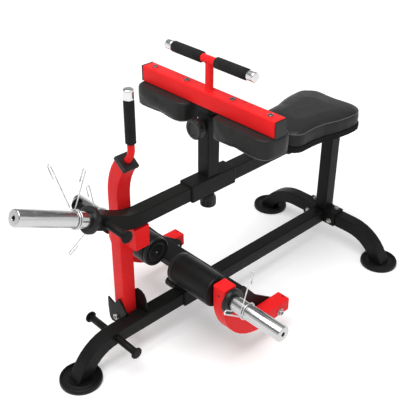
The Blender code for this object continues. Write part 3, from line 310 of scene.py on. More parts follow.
def facing(origin, axis, turn=0.0):
    """The place of a copy: its own +Z turned to an axis, and its origin moved."""
    axis = Vector(axis).normalized()
    across = axis.orthogonal().normalized()
    frame_of_axis = Matrix((across, axis.cross(across), axis)).transposed().to_4x4()
    return Matrix.Translation(Vector(origin)) @ frame_of_axis @ Matrix.Rotation(turn, 4, "Z")


def turned(profile, steps):
    """A turned mesh, as by hand: a profile drawn point by point, spun round +Z and closed."""
    piece = drawn([(radius, 0.0, height) for radius, height in profile])
    bpy.ops.mesh.spin(steps=steps, angle=math.tau, center=(0.0, 0.0, 0.0), axis=(0.0, 0.0, 1.0))
    bpy.ops.mesh.select_all(action="SELECT")
    bpy.ops.mesh.remove_doubles(threshold=0.000005)
    bpy.ops.mesh.normals_make_consistent(inside=False)
    done()
    smooth(piece, 32.0)
    return kept_mesh(piece)


def drawn(points):
    """A line of edges, open in edit mode: one vertex extruded from point to point."""
    points = [Vector(point) for point in points]
    bpy.ops.object.select_all(action="DESELECT")
    bpy.ops.mesh.primitive_plane_add(size=0.002, location=points[0])
    piece = bpy.context.active_object
    settle(piece)
    edit(piece)
    bpy.ops.mesh.merge(type="CENTER")
    for start, stop in zip(points, points[1:]):
        bpy.ops.mesh.extrude_vertices_move(TRANSFORM_OT_translate={"value": stop - start})
    bpy.ops.mesh.select_all(action="SELECT")
    return piece


def within(radius, *rows):
    """Points of a profile, each given as how far it lies inside a radius, and its height."""
    return [(radius - inset, height) for inset, height in rows]


def below(radius, top, *rows):
    """Points of a profile, each given as how far it lies inside a radius and below a top."""
    return [(radius - inset, top - drop) for inset, drop in rows]


def kept_mesh(piece):
    """Take a pattern's mesh and remove its object."""
    mesh = piece.data
    bpy.data.objects.remove(piece)
    return mesh


def joined(name, pieces):
    """Several meshes joined in one piece."""
    only(pieces[0])
    for piece in pieces:
        piece.select_set(True)
    bpy.ops.object.join()
    pieces[0].name = name
    pieces[0].data.name = name
    return pieces[0]


# Materials

class Graph:
    """The shader nodes of a material or a world."""

    def __init__(self, owner):
        """Start from the nodes that Blender puts there."""
        owner.use_nodes = True
        self.nodes, self.links = owner.node_tree.nodes, owner.node_tree.links

    def feed(self, socket, given):
        """Give a socket a plain value, or link it to an output or to a node's first output."""
        if isinstance(given, bpy.types.Node):
            given = given.outputs[0]
        if isinstance(given, bpy.types.NodeSocket):
            self.links.new(given, socket)
        else:
            socket.default_value = given

    def fed(self, node, *first, **named):
        """Feed a node's first sockets in order, and others by name with _ for each space."""
        for socket, given in zip(node.inputs, first):
            self.feed(socket, given)
        for name, given in named.items():
            self.feed(node.inputs[name.replace("_", " ")], given)
        return node

    def add(self, kind, *first, operation=None, **named):
        """A new node, fed in the same way."""
        made = self.nodes.new("ShaderNode" + kind)
        if operation:
            made.operation = operation
        return self.fed(made, *first, **named)

    def ramp(self, value, steps):
        """A colour ramp through steps of (position, colour)."""
        made = self.add("ValToRGB", value)
        elements = made.color_ramp.elements
        for position, colour in steps[1:-1]:
            elements.new(position)
        for element, (position, colour) in zip(elements, steps):
            element.position = position
            element.color = (*colour, 1.0)
        return made

    def seen_directly(self, lighting, shown):
        """A second shader for the camera's own rays and for those that polished metal or glass sends on."""
        ray = self.add("LightPath")
        value = ray.outputs["Is Camera Ray"]
        for word in ("Is Glossy Ray", "Is Transmission Ray"):
            value = self.add("Math", value, ray.outputs[word], operation="MAXIMUM")
        return self.add("MixShader", value, lighting, shown)


class Finish(Graph):
    """A procedural material on object coordinates, built up step by step."""

    def __init__(self, name, colour, roughness, metallic=0.0, gloss=0.5):
        """Plain values go on the shader's own sockets."""
        self.made = bpy.data.materials.new(name)
        self.made.diffuse_color = (*colour, 1.0)
        super().__init__(self.made)
        self.shader = self.nodes["Principled BSDF"]
        self.fed(self.shader, Base_Color=(*colour, 1.0), Roughness=roughness, Metallic=metallic,
                 Specular_IOR_Level=gloss)
        self.place = self.add("TexCoord").outputs["Object"]
        self.surface = None

    def texture(self, kind, scale, **named):
        """A texture node on object coordinates."""
        return self.add("Tex" + kind, self.place, Scale=scale, **named)

    def noise(self, scale, detail=3.0):
        """Soft noise between 0 and 1."""
        return self.texture("Noise", scale, Detail=detail, Roughness=0.55)

    def tint(self, value, dark, light):
        """Let the colour wander between two."""
        self.fed(self.shader, Base_Color=self.ramp(value, list(zip(NOISE_RANGE, (dark, light)))))

    def uneven(self, value, smooth_end, rough_end):
        """Let the roughness wander between two values."""
        self.fed(self.shader, Roughness=self.add("MapRange", value, *NOISE_RANGE, smooth_end, rough_end))

    def relief(self, height, strength, depth):
        """Add a bump over the earlier ones."""
        bump = self.add("Bump", Strength=strength, Distance=depth, Height=height)
        if self.surface:
            self.fed(bump, Normal=self.surface)
        self.surface = bump
        self.fed(self.shader, Normal=bump)


def shades(colour, amount):
    """A darker and a lighter shade of a colour."""
    return [part * (1.0 - amount) for part in colour], [part * (1.0 + amount) for part in colour]


def powder_coat(name, colour, roughness, gloss, amount):
    """Baked paint: orange peel, a fine grain, and a slightly uneven gloss."""
    coat = Finish(name, colour, roughness, gloss=gloss)
    coat.tint(coat.noise(9.0, 4.0), *shades(colour, amount))
    coat.uneven(coat.noise(60.0), roughness - 0.06, roughness + 0.07)
    coat.relief(coat.noise(420.0, 2.0), 0.1, 0.0006)
    coat.relief(coat.noise(1800.0, 1.0), 0.16, 0.0002)
    return coat.made


def black_paint():
    """The frame's black powder coat."""
    s = bpy.context.scene.calf_finishes
    return powder_coat("black_powder_coat", s.black_paint, s.black_roughness, 0.11, 0.14)


def red_paint():
    """The red powder coat of the catch, the thigh bar and the swing arms."""
    s = bpy.context.scene.calf_finishes
    return powder_coat("red_powder_coat", s.red_paint, s.red_roughness, 0.1, 0.05)


def chrome(name="chrome_plate", share=1.0):
    """Chrome plate: bright, with small changes of gloss."""
    s = bpy.context.scene.calf_finishes
    plate = Finish(name, [part * share for part in s.chrome], s.chrome_roughness, 1.0)
    plate.uneven(plate.noise(35.0, 4.0), s.chrome_roughness * 0.7, s.chrome_roughness * 1.5)
    plate.relief(plate.noise(260.0, 2.0), 0.03, 0.0003)
    return plate.made


def horn_plate():
    """The horns' plate: the same chrome, darker."""
    return chrome("horn_plate", 0.76)


def zinc(name="zinc_plate", grey=0.5):
    """Zinc-plated fasteners: dull grey with a mottled gloss."""
    colour = (grey, grey, grey * 0.98)
    plate = Finish(name, colour, 0.34, 1.0)
    mottle = plate.noise(220.0, 4.0)
    plate.tint(mottle, *shades(colour, 0.2))
    plate.uneven(mottle, 0.24, 0.42)
    plate.relief(plate.noise(900.0, 2.0), 0.08, 0.0002)
    return plate.made


def dull_zinc():
    """The darker screws along the thigh bar."""
    return zinc("dull_zinc", 0.2)


def vinyl(name="black_vinyl", lift=1.0, gloss=0.16):
    """Artificial leather: pebbled grain, soft creases and a satin face."""
    s = bpy.context.scene.calf_finishes
    colour = [part * lift for part in s.vinyl]
    skin = Finish(name, colour, s.vinyl_roughness, gloss=gloss)
    skin.fed(skin.shader, Sheen_Weight=0.02, Sheen_Roughness=0.45)
    bend = skin.texture("Noise", 160.0).outputs["Color"]
    warp = skin.add("VectorMath", bend, [s.vinyl_grain] * 3, skin.place, operation="MULTIPLY_ADD")
    cells = skin.add("TexVoronoi", warp, Scale=1.0 / s.vinyl_grain)
    cells.feature = "DISTANCE_TO_EDGE"
    skin.tint(skin.noise(7.0, 4.0), *shades(colour, 0.12))
    skin.uneven(skin.noise(40.0), s.vinyl_roughness - 0.05, s.vinyl_roughness + 0.06)
    skin.relief(cells, 0.22, 0.0005)
    skin.relief(skin.noise(24.0), 0.1, 0.0012)
    return skin.made


def welt():
    """The cushions' piping: the same vinyl painted lighter, a painted highlight along the cushion's edge, and
    shinier.
    """
    return vinyl("piping_painted_highlight", 3.4, 0.6)


def foam():
    """Closed-cell foam: matt, with small open pores."""
    grip = Finish("foam_grip", (0.01, 0.0105, 0.01), 0.74, gloss=0.12)
    grip.fed(grip.shader, Sheen_Weight=0.04)
    grip.tint(grip.noise(30.0), (0.008, 0.0085, 0.008), (0.014, 0.0145, 0.014))
    grip.relief(grip.texture("Voronoi", 900.0), 0.3, 0.0004)
    grip.relief(grip.noise(90.0), 0.18, 0.0008)
    return grip.made


def moulding():
    """Moulded plastic with a spark-eroded texture."""
    plastic = Finish("moulded_plastic", (0.01, 0.01, 0.01), 0.34, gloss=0.26)
    plastic.tint(plastic.noise(12.0), (0.008, 0.008, 0.008), (0.013, 0.013, 0.013))
    plastic.uneven(plastic.noise(25.0), 0.29, 0.42)
    plastic.relief(plastic.noise(1500.0, 1.0), 0.16, 0.0002)
    return plastic.made


def rubber():
    """Matt rubber, a little uneven."""
    skin = Finish("matt_rubber", (0.0065, 0.0065, 0.0063), 0.4, gloss=0.14)
    skin.tint(skin.noise(10.0), (0.005, 0.005, 0.0048), (0.0085, 0.0085, 0.0082))
    skin.uneven(skin.noise(18.0), 0.34, 0.48)
    skin.relief(skin.noise(700.0, 2.0), 0.14, 0.0003)
    return skin.made


def backing():
    """Thin black cover cloth over the seat's plywood, with its weave."""
    cloth = Finish("cover_cloth", (0.012, 0.012, 0.012), 0.88, gloss=0.1)
    cloth.tint(cloth.noise(60.0), (0.009, 0.009, 0.009), (0.016, 0.016, 0.016))
    cloth.relief(cloth.texture("Wave", 260.0, Distortion=1.5).outputs["Fac"], 0.3, 0.0003)
    return cloth.made


def wire():
    """Sprung steel wire: white zinc, in patches a little darker and lighter."""
    steel = Finish("clip_wire", (0.66, 0.67, 0.67), 0.38, 1.0)
    cast = steel.noise(70.0)
    steel.tint(cast, (0.5, 0.51, 0.51), (0.8, 0.81, 0.81))
    steel.uneven(cast, 0.3, 0.46)
    steel.relief(steel.noise(1200.0, 2.0), 0.06, 0.0001)
    return steel.made


MAKERS = {
    "painted_black": black_paint, "painted_red": red_paint, "chrome": chrome, "bolt_steel": zinc,
    "vinyl": vinyl, "board": backing, "foam": foam, "plastic": moulding, "rubber": rubber,
    "wire": wire, "welt": welt, "horn": horn_plate, "screw": dull_zinc,
}
MADE = {}


def material_for(look):
    """One material for each slot of the record and for each further look."""
    if look not in MADE:
        MADE[look] = MAKERS[look]()
    return MADE[look]


# Settings

def colour_setting(name, description, value):
    """A colour."""
    return FloatVectorProperty(name=name, description=description, default=value, size=3, min=0.0, max=1.0,
                               subtype="COLOR")


def share_setting(name, description, value):
    """A share between 0 and 1."""
    return FloatProperty(name=name, description=description, default=value, min=0.0, max=1.0,
                         subtype="FACTOR")


def length_setting(name, description, value, least):
    """A length in metres."""
    return FloatProperty(name=name, description=description, default=value, min=least, unit="LENGTH")


def power_setting(name, description, value):
    """A lamp's power in watts."""
    return FloatProperty(name=name, description=description, default=value, min=0.0, unit="POWER")


class CalfFinishes(bpy.types.PropertyGroup):
    """Colours and gloss."""
    black_paint: colour_setting("Black paint", "Colour of the frame", (0.008, 0.0082, 0.0078))
    black_roughness: share_setting("Black roughness", "Roughness of the black paint", 0.42)
    red_paint: colour_setting("Red paint", "Colour of the catch, bar and swing arms", (0.89, 0.018, 0.02))
    red_roughness: share_setting("Red roughness", "Roughness of the red paint", 0.38)
    chrome: colour_setting("Chrome", "Colour of the plated horns and caps", (0.68, 0.68, 0.68))
    chrome_roughness: share_setting("Chrome roughness", "Roughness of the plating", 0.17)
    vinyl: colour_setting("Vinyl", "Colour of the seat and the pads", (0.0175, 0.018, 0.0175))
    vinyl_roughness: share_setting("Vinyl roughness", "Roughness of the vinyl", 0.42)
    vinyl_grain: length_setting("Vinyl grain", "Width of one pebble of the grain", 0.0016, 0.0002)


class CalfSizes(bpy.types.PropertyGroup):
    """Sizes of the finishing pieces."""
    steps: IntProperty(name="Steps round", description="Faces round a turned piece", default=56, min=12,
                       max=128)
    bolt_across: length_setting("Bolt head", "Width of a bolt head", 0.015, 0.002)
    bolt_height: length_setting("Bolt head height", "Height of a bolt head", 0.0058, 0.001)
    socket: length_setting("Horn socket", "Radius of the hole in a horn's end", 0.0072, 0.001)
    piping: length_setting("Piping", "Radius of the cushions' piping", 0.0018, 0.0005)
    cloth_cap: length_setting("Cloth cap", "How far the cover may move from its pad", 0.006, 0.0)
    cloth_pressure: FloatProperty(name="Cloth pressure", description="Pressure inside a cushion",
                                  default=4.0, min=0.0)
    flute_depth: length_setting("Flute depth", "Depth of the flutes on the knobs", 0.0012, 0.0)
    weld: length_setting("Weld bead", "Radius of a weld bead", 0.0022, 0.0005)


class CalfStage(bpy.types.PropertyGroup):
    """Floor, lamps and camera."""
    floor: colour_setting("Floor", "Colour of the floor", (0.86, 0.86, 0.86))
    lens: FloatProperty(name="Lens", description="Focal length on a 36 mm sensor", default=68.48, min=10.0)
    world: FloatProperty(name="World light", description="Strength of the light from all round",
                         default=0.47, min=0.0)
    key: power_setting("Key lamp", "Power of the large lamp overhead", 150.0)
    side: power_setting("Side lamp", "Power of the lamp on the right", 5.0)


# Pieces. The rows of every profile are (radius, height), in metres.

class CALF_OT_frame_tubes(bpy.types.Operator):
    """Finish the black tubes and plates of the frame, the lever and the carriages"""
    bl_idname = "calf.frame_tubes"
    bl_label = "Black tubes and plates"

    def execute(self, context):
        for node in WELDED_NODES:
            finished(node)
        return {"FINISHED"}


class CALF_OT_red_tubes(bpy.types.Operator):
    """Finish the red catch, thigh bar and swing arms, and the plastic plugs in their ends"""
    bl_idname = "calf.red_tubes"
    bl_label = "Red tubes and plugs"

    def execute(self, context):
        for node in RED_NODES + PLASTIC_NODES:
            finished(node, CRADLE_EDGE if node == "catch_cradle" else 0.0)
        return {"FINISHED"}


def finished(node, edge=0.0):
    """A node's own shape with its flat faces kept flat. An edge above 0 rounds its corners."""
    piece = copied(node, "finished_" + node)
    if edge:
        step = piece.modifiers.new("edges", "BEVEL")
        step.width = edge
        step.segments = 2
        step.limit_method = "ANGLE"
        step.angle_limit = math.radians(SHARP)
        apply_all(piece)
    smooth(piece)
    step = piece.modifiers.new("normals", "WEIGHTED_NORMAL")
    step.keep_sharp = True
    apply_all(piece)
    stand_for(node, piece)


class CALF_OT_turned_pieces(bpy.types.Operator):
    """Round off the pegs, the grips and their caps, the clips' wire and the catch's bent handle"""
    bl_idname = "calf.turned_pieces"
    bl_label = "Pegs, grips and wires"

    def execute(self, context):
        for nodes, levels, angle in ((TURNED_NODES, 2, SHARP), (WIRE_NODES, 1, 60.0)):
            for node in nodes:
                piece = copied(node, "finished_" + node)
                rounded(piece, levels)
                smooth(piece, angle)
                stand_for(node, piece, "wire" if node.endswith("_clip") else None)
        return {"FINISHED"}


class CALF_OT_feet(bpy.types.Operator):
    """Turn the three rubber feet, with a raised rim and a low ring round the leg"""
    bl_idname = "calf.feet"
    bl_label = "Feet"

    def execute(self, context):
        s = context.scene.calf_sizes
        for node in FEET:
            middle = middle_of(node)
            high = corners(node)[1]
            radius = high.x - middle.x
            rim = high.z
            floor = rim - 0.006
            profile = [(0.0, floor), (radius * 0.6, floor), (radius * 0.62, floor + 0.0008),
                       (radius * 0.66, floor + 0.0008), (radius * 0.68, floor)]
            profile += within(radius, (0.0105, floor), (0.0095, floor + 0.0012))
            profile += below(radius, rim, (0.0085, 0.0015), (0.007, 0.0), (0.004, 0.0), (0.0018, 0.0012),
                             (0.0006, 0.0035), (0.0, 0.007))
            profile += within(radius, (0.0, 0.0035), (0.001, 0.0012), (0.003, 0.0), (0.02, 0.0),
                              (0.022, 0.001), (radius, 0.001))
            turn_for(node, profile, (middle.x, middle.y, 0.0), (0, 0, 1), s.steps)
        return {"FINISHED"}


class CALF_OT_knobs(bpy.types.Operator):
    """Turn the three spring plungers, with flutes round the grip and a dished face"""
    bl_idname = "calf.knobs"
    bl_label = "Knobs"

    def execute(self, context):
        s = context.scene.calf_sizes
        for node, axis, pin, flutes, dish in KNOBS:
            fluted_knob(node, Vector(axis), pin, flutes, dish, s.flute_depth)
        return {"FINISHED"}


def fluted_knob(node, axis, pin, flutes, dish, depth):
    """A knob on its spring pin. The flutes are pressed in between two rings of its side."""
    low, high = corners(node)
    size = high - low
    middle = middle_of(node)
    radius = sorted(size)[1] / 2.0
    reach = abs(size.dot(axis))
    face = middle + axis * reach / 2.0
    root = middle - axis * reach / 2.0
    grip = reach - pin
    profile = [(0.0, 0.0), (0.005, 0.0), (0.005, pin), (radius * 0.7, pin), (radius * 0.74, pin + 0.001),
               (radius * 0.8, pin + grip * 0.12), (radius * 0.965, pin + grip * 0.3),
               (radius, pin + grip * 0.38), (radius, pin + grip * 0.55), (radius, pin + grip * 0.72)]
    profile += below(radius, reach, (0.0, 0.004), (0.0006, 0.0022), (0.0018, 0.0007), (0.0035, 0.0))
    profile += below(radius * dish, reach, (-0.0012, 0.0), (0.0, 0.0006), (0.0012, 0.0022))
    profile += [(radius * 0.3, reach - 0.0026), (0.0, reach - 0.0026)]
    piece = spun("fluted_" + node, profile, root, axis, flutes * FLUTE_FACES)
    edit(piece, "DESELECT")
    form = bmesh.from_edit_mesh(piece.data)
    across = axis.orthogonal().normalized()
    other = axis.cross(across)
    begin, end = FLUTE_SPAN
    for vert in form.verts:
        arm = vert.co - root
        along = arm.dot(axis)
        arm = arm - axis * along
        share = (math.atan2(arm.dot(other), arm.dot(across)) / math.tau * flutes) % 1.0
        on_side = pin + grip * 0.3 < along < reach - 0.003 and arm.length > radius * 0.9
        vert.select = on_side and begin < share < end
    form.select_flush_mode()
    bmesh.update_edit_mesh(piece.data)
    scale = [1.0 if abs(part) > 0.5 else 1.0 - depth / radius for part in axis]
    bpy.ops.transform.resize(value=scale, center_override=face)
    done()
    smooth(piece, 32.0)
    stand_for(node, piece)


class CALF_OT_roller_caps(bpy.types.Operator):
    """Turn the roller ends: an outer bead, a groove, an inner disc and a domed screw"""
    bl_idname = "calf.roller_caps"
    bl_label = "Roller end caps"

    def execute(self, context):
        s = context.scene.calf_sizes
        for word, side in SIDES:
            node = word + "_roller_cap"
            low, high = corners(node)
            root = middle_of(node)
            radius = high.z - root.z
            root.x = low.x if side < 0 else high.x
            axis = Vector((-side, 0.0, 0.0))
            face = (high.x - low.x) - 0.002
            profile = within(radius, (radius, 0.0), (0.001, 0.0), (0.0, 0.001))
            profile += below(radius, face, (0.0, 0.0045), (0.0008, 0.0018), (0.003, 0.0), (0.009, 0.0),
                             (0.0105, 0.0008), (0.0115, 0.004), (0.015, 0.004), (0.016, 0.0008),
                             (0.0172, -0.0006), (0.019, -0.0014), (0.022, -0.0014), (0.0235, -0.0006),
                             (0.0245, 0.0012))
            profile += [(0.0125, face - 0.0016), (0.0115, face - 0.0002), (0.007, face - 0.0002),
                        (0.006, face - 0.0022), (0.0, face - 0.0022)]
            turn_for(node, profile, root, axis, s.steps)
            screw = pan_head(word + "_roller_screw", root + axis * (face - 0.0022), axis, *ROLLER_SCREW)
            add_to(node, screw, "bolt_steel")
        return {"FINISHED"}


def pan_head(name, place, axis, radius, height):
    """A domed screw head with a round socket pressed into it."""
    profile = [(0.0, -0.0004), (radius, -0.0004), (radius, height * 0.35), (radius * 0.93, height * 0.7),
               (radius * 0.72, height * 0.94), (radius * 0.45, height), (radius * 0.4, height * 0.95),
               (radius * 0.38, height * 0.35), (0.0, height * 0.3)]
    return spun(name, profile, place, axis, 24)


def socket_head(name, place, axis, radius, height, washer):
    """A round bolt head with a deep socket, on a washer."""
    profile = [(radius * 0.5, 0.0), (radius * 0.5, height * 0.92), (radius * 0.55, height),
               (radius * 0.88, height), (radius * 0.97, height * 0.9), (radius, height * 0.72),
               (radius, 0.0016), (washer - 0.0004, 0.0016), (washer, 0.0011), (washer, 0.0),
               (radius * 0.5, 0.0)]
    return spun(name, profile, place, axis, 40)


def socket_painted_shade(name, place, axis, radius):
    """A dark disc of painted shade at the bottom of a socket, with its six-sided recess."""
    profile = [(0.0, -0.0006), (radius, -0.0006), (radius, 0.0002), (radius * 0.92, 0.0012),
               (radius * 0.62, 0.001), (radius * 0.55, 0.0004), (0.0, 0.0003)]
    return spun(name, profile, place, axis, 6)


def hex_head(name, place, axis, across, height):
    """A hexagon bolt head at its place."""
    kind = (across, height)
    return placed(name, kind, lambda: hexagon(across, height), place, axis, PLATE_BOLT_TURN)


def pick_top(piece):
    """Select only a piece's largest face towards +Z."""
    bpy.ops.mesh.select_all(action="DESELECT")
    form = bmesh.from_edit_mesh(piece.data)
    tops = [part for part in form.faces if part.normal.z > 0.9]
    max(tops, key=lambda part: part.calc_area()).select = True
    bmesh.update_edit_mesh(piece.data)


def hexagon(across, height):
    """A hexagon head along +Z: bevelled on top, with a shallow dish, on a washer."""
    bpy.ops.object.select_all(action="DESELECT")
    bpy.ops.mesh.primitive_cylinder_add(vertices=6, radius=across / math.sqrt(3.0), depth=height,
                                        location=(0.0, 0.0, height / 2.0 + 0.0012))
    head = bpy.context.active_object
    settle(head)
    edit(head)
    pick_top(head)
    bpy.ops.mesh.bevel(offset=0.0011, segments=2, affect="EDGES")
    pick_top(head)
    bpy.ops.mesh.inset(thickness=0.0012)
    bpy.ops.mesh.inset(thickness=0.0006, depth=-0.0005)
    done()
    ring = [(across * 0.4, 0.0), (across * 0.4, 0.0014), (across * 0.66, 0.0014),
            (across * 0.7, 0.001), (across * 0.7, 0.0), (across * 0.4, 0.0)]
    made = joined("hexagon", [head, spun("washer", ring, (0.0, 0.0, 0.0), (0, 0, 1), 32)])
    smooth(made, 30.0)
    return kept_mesh(made)


class CALF_OT_bolts(bpy.types.Operator):
    """Fit the bolts: pivots, the rear plate, the thigh bar and the small set screws"""
    bl_idname = "calf.bolts"
    bl_label = "Bolts and screws"

    def execute(self, context):
        s = context.scene.calf_sizes
        for node, axis, rise, share in PIVOT_BOLTS:
            pivot_bolt(node, Vector(axis), rise, share)
        low, high = corners("rear_angle_plate")
        for x in (-PLATE_BOLT_X, PLATE_BOLT_X):
            for place, axis in (((x, high.y - PLATE_BOLT_INSET, high.z), (0, 0, 1)),
                                ((x, low.y, PLATE_BOLT_Z), (0, -1, 0))):
                head = hex_head("rear_plate_bolt", place, axis, s.bolt_across, s.bolt_height)
                add_to("rear_angle_plate", head, "bolt_steel")
        middle = middle_of("thigh_bar")
        top = corners("thigh_bar")[1].z
        for x in BAR_SCREW_X:
            head = pan_head("thigh_bar_bolt", (x, middle.y, top), (0, 0, 1), *BAR_SCREW)
            add_to("thigh_bar", head, "bolt_steel", "screw")
        # Dark discs in the band pegs' dimples: painted shade in their holes
        for node in ("lever_band_peg", "base_band_peg"):
            middle = middle_of(node)
            for side, corner in zip((-1.0, 1.0), corners(node)):
                dimple_painted_shade = socket_screw(node + "_dimple", (corner.x, middle.y, middle.z), (side, 0, 0))
                add_to(node, dimple_painted_shade, "plastic", "rubber")
        for word, side in SIDES:
            node = word + "_swing_arm"
            low, high = corners(node)
            rear = (side * ARM_SCREW_X, high.y - ARM_SCREW_INSET, arm_top(node))
            front = (middle_of(node).x, low.y, ARM_SCREW_Z)
            for name, place, axis in (("rear", rear, (0, 0, 1)), ("front", front, (0, -1, 0))):
                screw = socket_screw(f"{word}_arm_{name}_screw", place, axis)
                add_to(node, screw, "bolt_steel", "rubber")
        return {"FINISHED"}


def pivot_bolt(node, axis, rise, share):
    """A pivot bolt in one piece with both its heads, and dark discs of painted shade on the floors of their
    sockets.
    """
    middle = middle_of(node)
    size = 2.0 * (corners(node)[1] - middle)
    washer = min(size) / 2.0
    head = washer * share
    grip = abs(size.dot(axis)) - 2.0 * rise
    pieces = []
    for way, word in ((axis, "near"), (-axis, "far")):
        place = middle + way * grip / 2.0
        pieces.append(socket_head(node, place, way, head, rise, washer))
        # The dark disc in each head's socket is painted shade
        add_to(node, socket_painted_shade(f"{node}_{word}_socket", place, way, head * 0.52), "plastic")
    shank = [(0.0, 0.0), (head * 0.56, 0.0), (head * 0.56, grip), (0.0, grip)]
    pieces.append(spun(node + "_shank", shank, middle - axis * grip / 2.0, axis, 24))
    stand_for(node, joined("fitted_" + node, pieces))


def arm_top(node):
    """The height of the level part of a swing arm's top face."""
    places = [vert.co for vert in frame["nodes"][node].data.vertices]
    rear = max(place.y for place in places)
    return max(place.z for place in places if place.y > rear - 0.01)


def socket_screw(name, place, axis):
    """A small black set screw, sunk in its hole. In the band pegs' dimples the same dark disc is painted shade."""
    profile = [(0.0, -0.0004), (0.0036, -0.0004), (0.0036, 0.0002), (0.003, 0.0003), (0.0022, 0.0001),
               (0.0, 0.0001)]
    return spun(name, profile, place, axis, 20)


class CALF_OT_cushions(bpy.types.Operator):
    """Blow up the seat and the thigh pads in their covers, and sew the piping round them"""
    bl_idname = "calf.cushions"
    bl_label = "Seat and thigh pads"

    def execute(self, context):
        s = context.scene.calf_sizes
        for node, up in CUSHIONS:
            piece = padded_cover(node, up, s)
            low, high = corners(node)
            edge = high.z - SEAT_PIPING_DROP if up > 0 else low.z + PAD_PIPING_RISE
            stand_for(node, piece)
            cord = piping(node + "_piping", piece, edge, s.piping)
            # The piping's lighter vinyl is a painted highlight along the cushion's edge
            add_to(node, cord, SLOT_OF[node], "welt")
        return {"FINISHED"}


def padded_cover(node, up, s):
    """A cover over its foam: the node's form, remeshed and blown up a little by cloth simulation."""
    piece = copied(node, "covered_" + node)
    low, high = corners(node)
    edit(piece)
    shrink = 1.0 - FOAM_SHRINK / ((high.x - low.x) / 2.0)
    bpy.ops.transform.resize(value=(shrink, shrink, 1.0), center_override=middle_of(node))
    done()
    step = piece.modifiers.new("remesh", "REMESH")
    step.mode = "VOXEL"
    step.voxel_size = FOAM_VOXEL
    apply_all(piece)
    rest = [vert.co.copy() for vert in piece.data.vertices]
    blow_up(piece, s.cloth_pressure)
    back = low.z if up > 0 else high.z
    for vert, start in zip(piece.data.vertices, rest):
        move = vert.co - start
        if move.length > s.cloth_cap:
            move = move.normalized() * s.cloth_cap
        freedom = min(1.0, abs(start.z - back) / BOARD_HOLD)
        vert.co = start + move * freedom
    step = piece.modifiers.new("even", "SMOOTH")
    step.factor = 0.5
    step.iterations = 3
    subdivided(piece, 1)
    smooth(piece, 60.0)
    return piece


def blow_up(piece, pressure):
    """Run the cloth for its frames and keep the result."""
    scene = bpy.context.scene
    step = piece.modifiers.new("cover", "CLOTH")
    cloth = step.settings
    cloth.quality = 6
    cloth.mass = 0.4
    cloth.tension_stiffness = 30.0
    cloth.compression_stiffness = 30.0
    cloth.shear_stiffness = 20.0
    cloth.bending_stiffness = 2.0
    cloth.use_pressure = True
    cloth.uniform_pressure_force = pressure
    cloth.effector_weights.gravity = 0.0
    step.point_cache.frame_start = 1
    step.point_cache.frame_end = CLOTH_FRAMES
    scene.frame_start = 1
    scene.frame_end = CLOTH_FRAMES
    for number in range(1, CLOTH_FRAMES + 1):
        scene.frame_set(number)
    apply_all(piece)
    scene.frame_set(1)


def piping(name, cover, height, radius):
    """A welt round a cushion: its outline at one height, as a cord."""
    made = linked(name, cover.data.copy())
    edit(made)
    bpy.ops.mesh.bisect(plane_co=(0.0, 0.0, height), plane_no=(0.0, 0.0, 1.0), clear_inner=True,
                        clear_outer=True)
    done()
    return corded(made, radius)


class CALF_OT_t_handle(bpy.types.Operator):
    """Weld the red T handle from two round tubes, with a bead at its root and one at the joint"""
    bl_idname = "calf.t_handle"
    bl_label = "T handle"

    def execute(self, context):
        s = context.scene.calf_sizes
        low, high = corners("t_handle")
        middle_y = middle_of("t_handle").y
        radius = high.y - middle_y
        level = high.z - radius
        bar = spun("t_bar", [(0.0, -high.x), (radius, -high.x), (radius, high.x), (0.0, high.x)],
                   (0.0, middle_y, level), (1, 0, 0), s.steps)
        stem = level - low.z - radius * 0.5
        post = spun("t_post", [(0.0, 0.0), (radius, 0.0), (radius, stem), (0.0, stem)],
                    (0.0, middle_y, low.z), (0, 0, 1), s.steps)
        piece = joined("welded_t_handle", [bar, post])
        stand_for("t_handle", piece)
        turns = [math.tau * number / ROUND_RIPPLES for number in range(ROUND_RIPPLES)]
        wide = radius + 0.0006
        spots = [(wide * math.cos(turn), wide * math.sin(turn)) for turn in turns]
        root = [(x, middle_y + y, low.z + 0.0004) for x, y in spots]
        add_to("t_handle", bead("t_handle_root_weld", root, s.weld), "painted_red")
        saddle = [(x, middle_y + y, level - math.sqrt(max(radius * radius - y * y, 0.0))) for x, y in spots]
        add_to("t_handle", bead("t_handle_joint_weld", saddle, s.weld * 0.8), "painted_red")
        return {"FINISHED"}


def square_points(y, z):
    """Points round a level square with its corners cut, on the machine's middle plane."""
    inner = WELD_HALF - WELD_CORNER
    ends = [(-inner, -WELD_HALF), (inner, -WELD_HALF), (WELD_HALF, -inner), (WELD_HALF, inner),
            (inner, WELD_HALF), (-inner, WELD_HALF), (-WELD_HALF, inner), (-WELD_HALF, -inner)]
    points = []
    for start, stop in zip(ends, ends[1:] + ends[:1]):
        start, stop = Vector(start), Vector(stop)
        count = max(1, round((stop - start).length / WELD_RIPPLE))
        for number in range(count):
            spot = start.lerp(stop, number / count)
            points.append((spot.x, y + spot.y, z))
    return points


def bead(name, points, radius):
    """A painted weld: a closed cord through points, rippled as the metal was laid down."""
    line = drawn(points + points[:1])
    bpy.ops.mesh.remove_doubles(threshold=0.00005)
    done()
    line.name = name
    return corded(line, radius, 0.8)


def corded(line, radius, ripple=1.0):
    """Turn a closed line of edges into a round cord, every other point thinner by the ripple."""
    only(line)
    bpy.ops.object.convert(target="CURVE")
    made = bpy.context.active_object
    made.data.bevel_depth = radius
    made.data.bevel_resolution = 2
    for spline in made.data.splines:
        for number, point in enumerate(spline.points):
            point.radius = 1.0 if number % 2 else ripple
    bpy.ops.object.convert(target="MESH")
    made = bpy.context.active_object
    made.data.name = made.name
    smooth(made, 80.0)
    return made


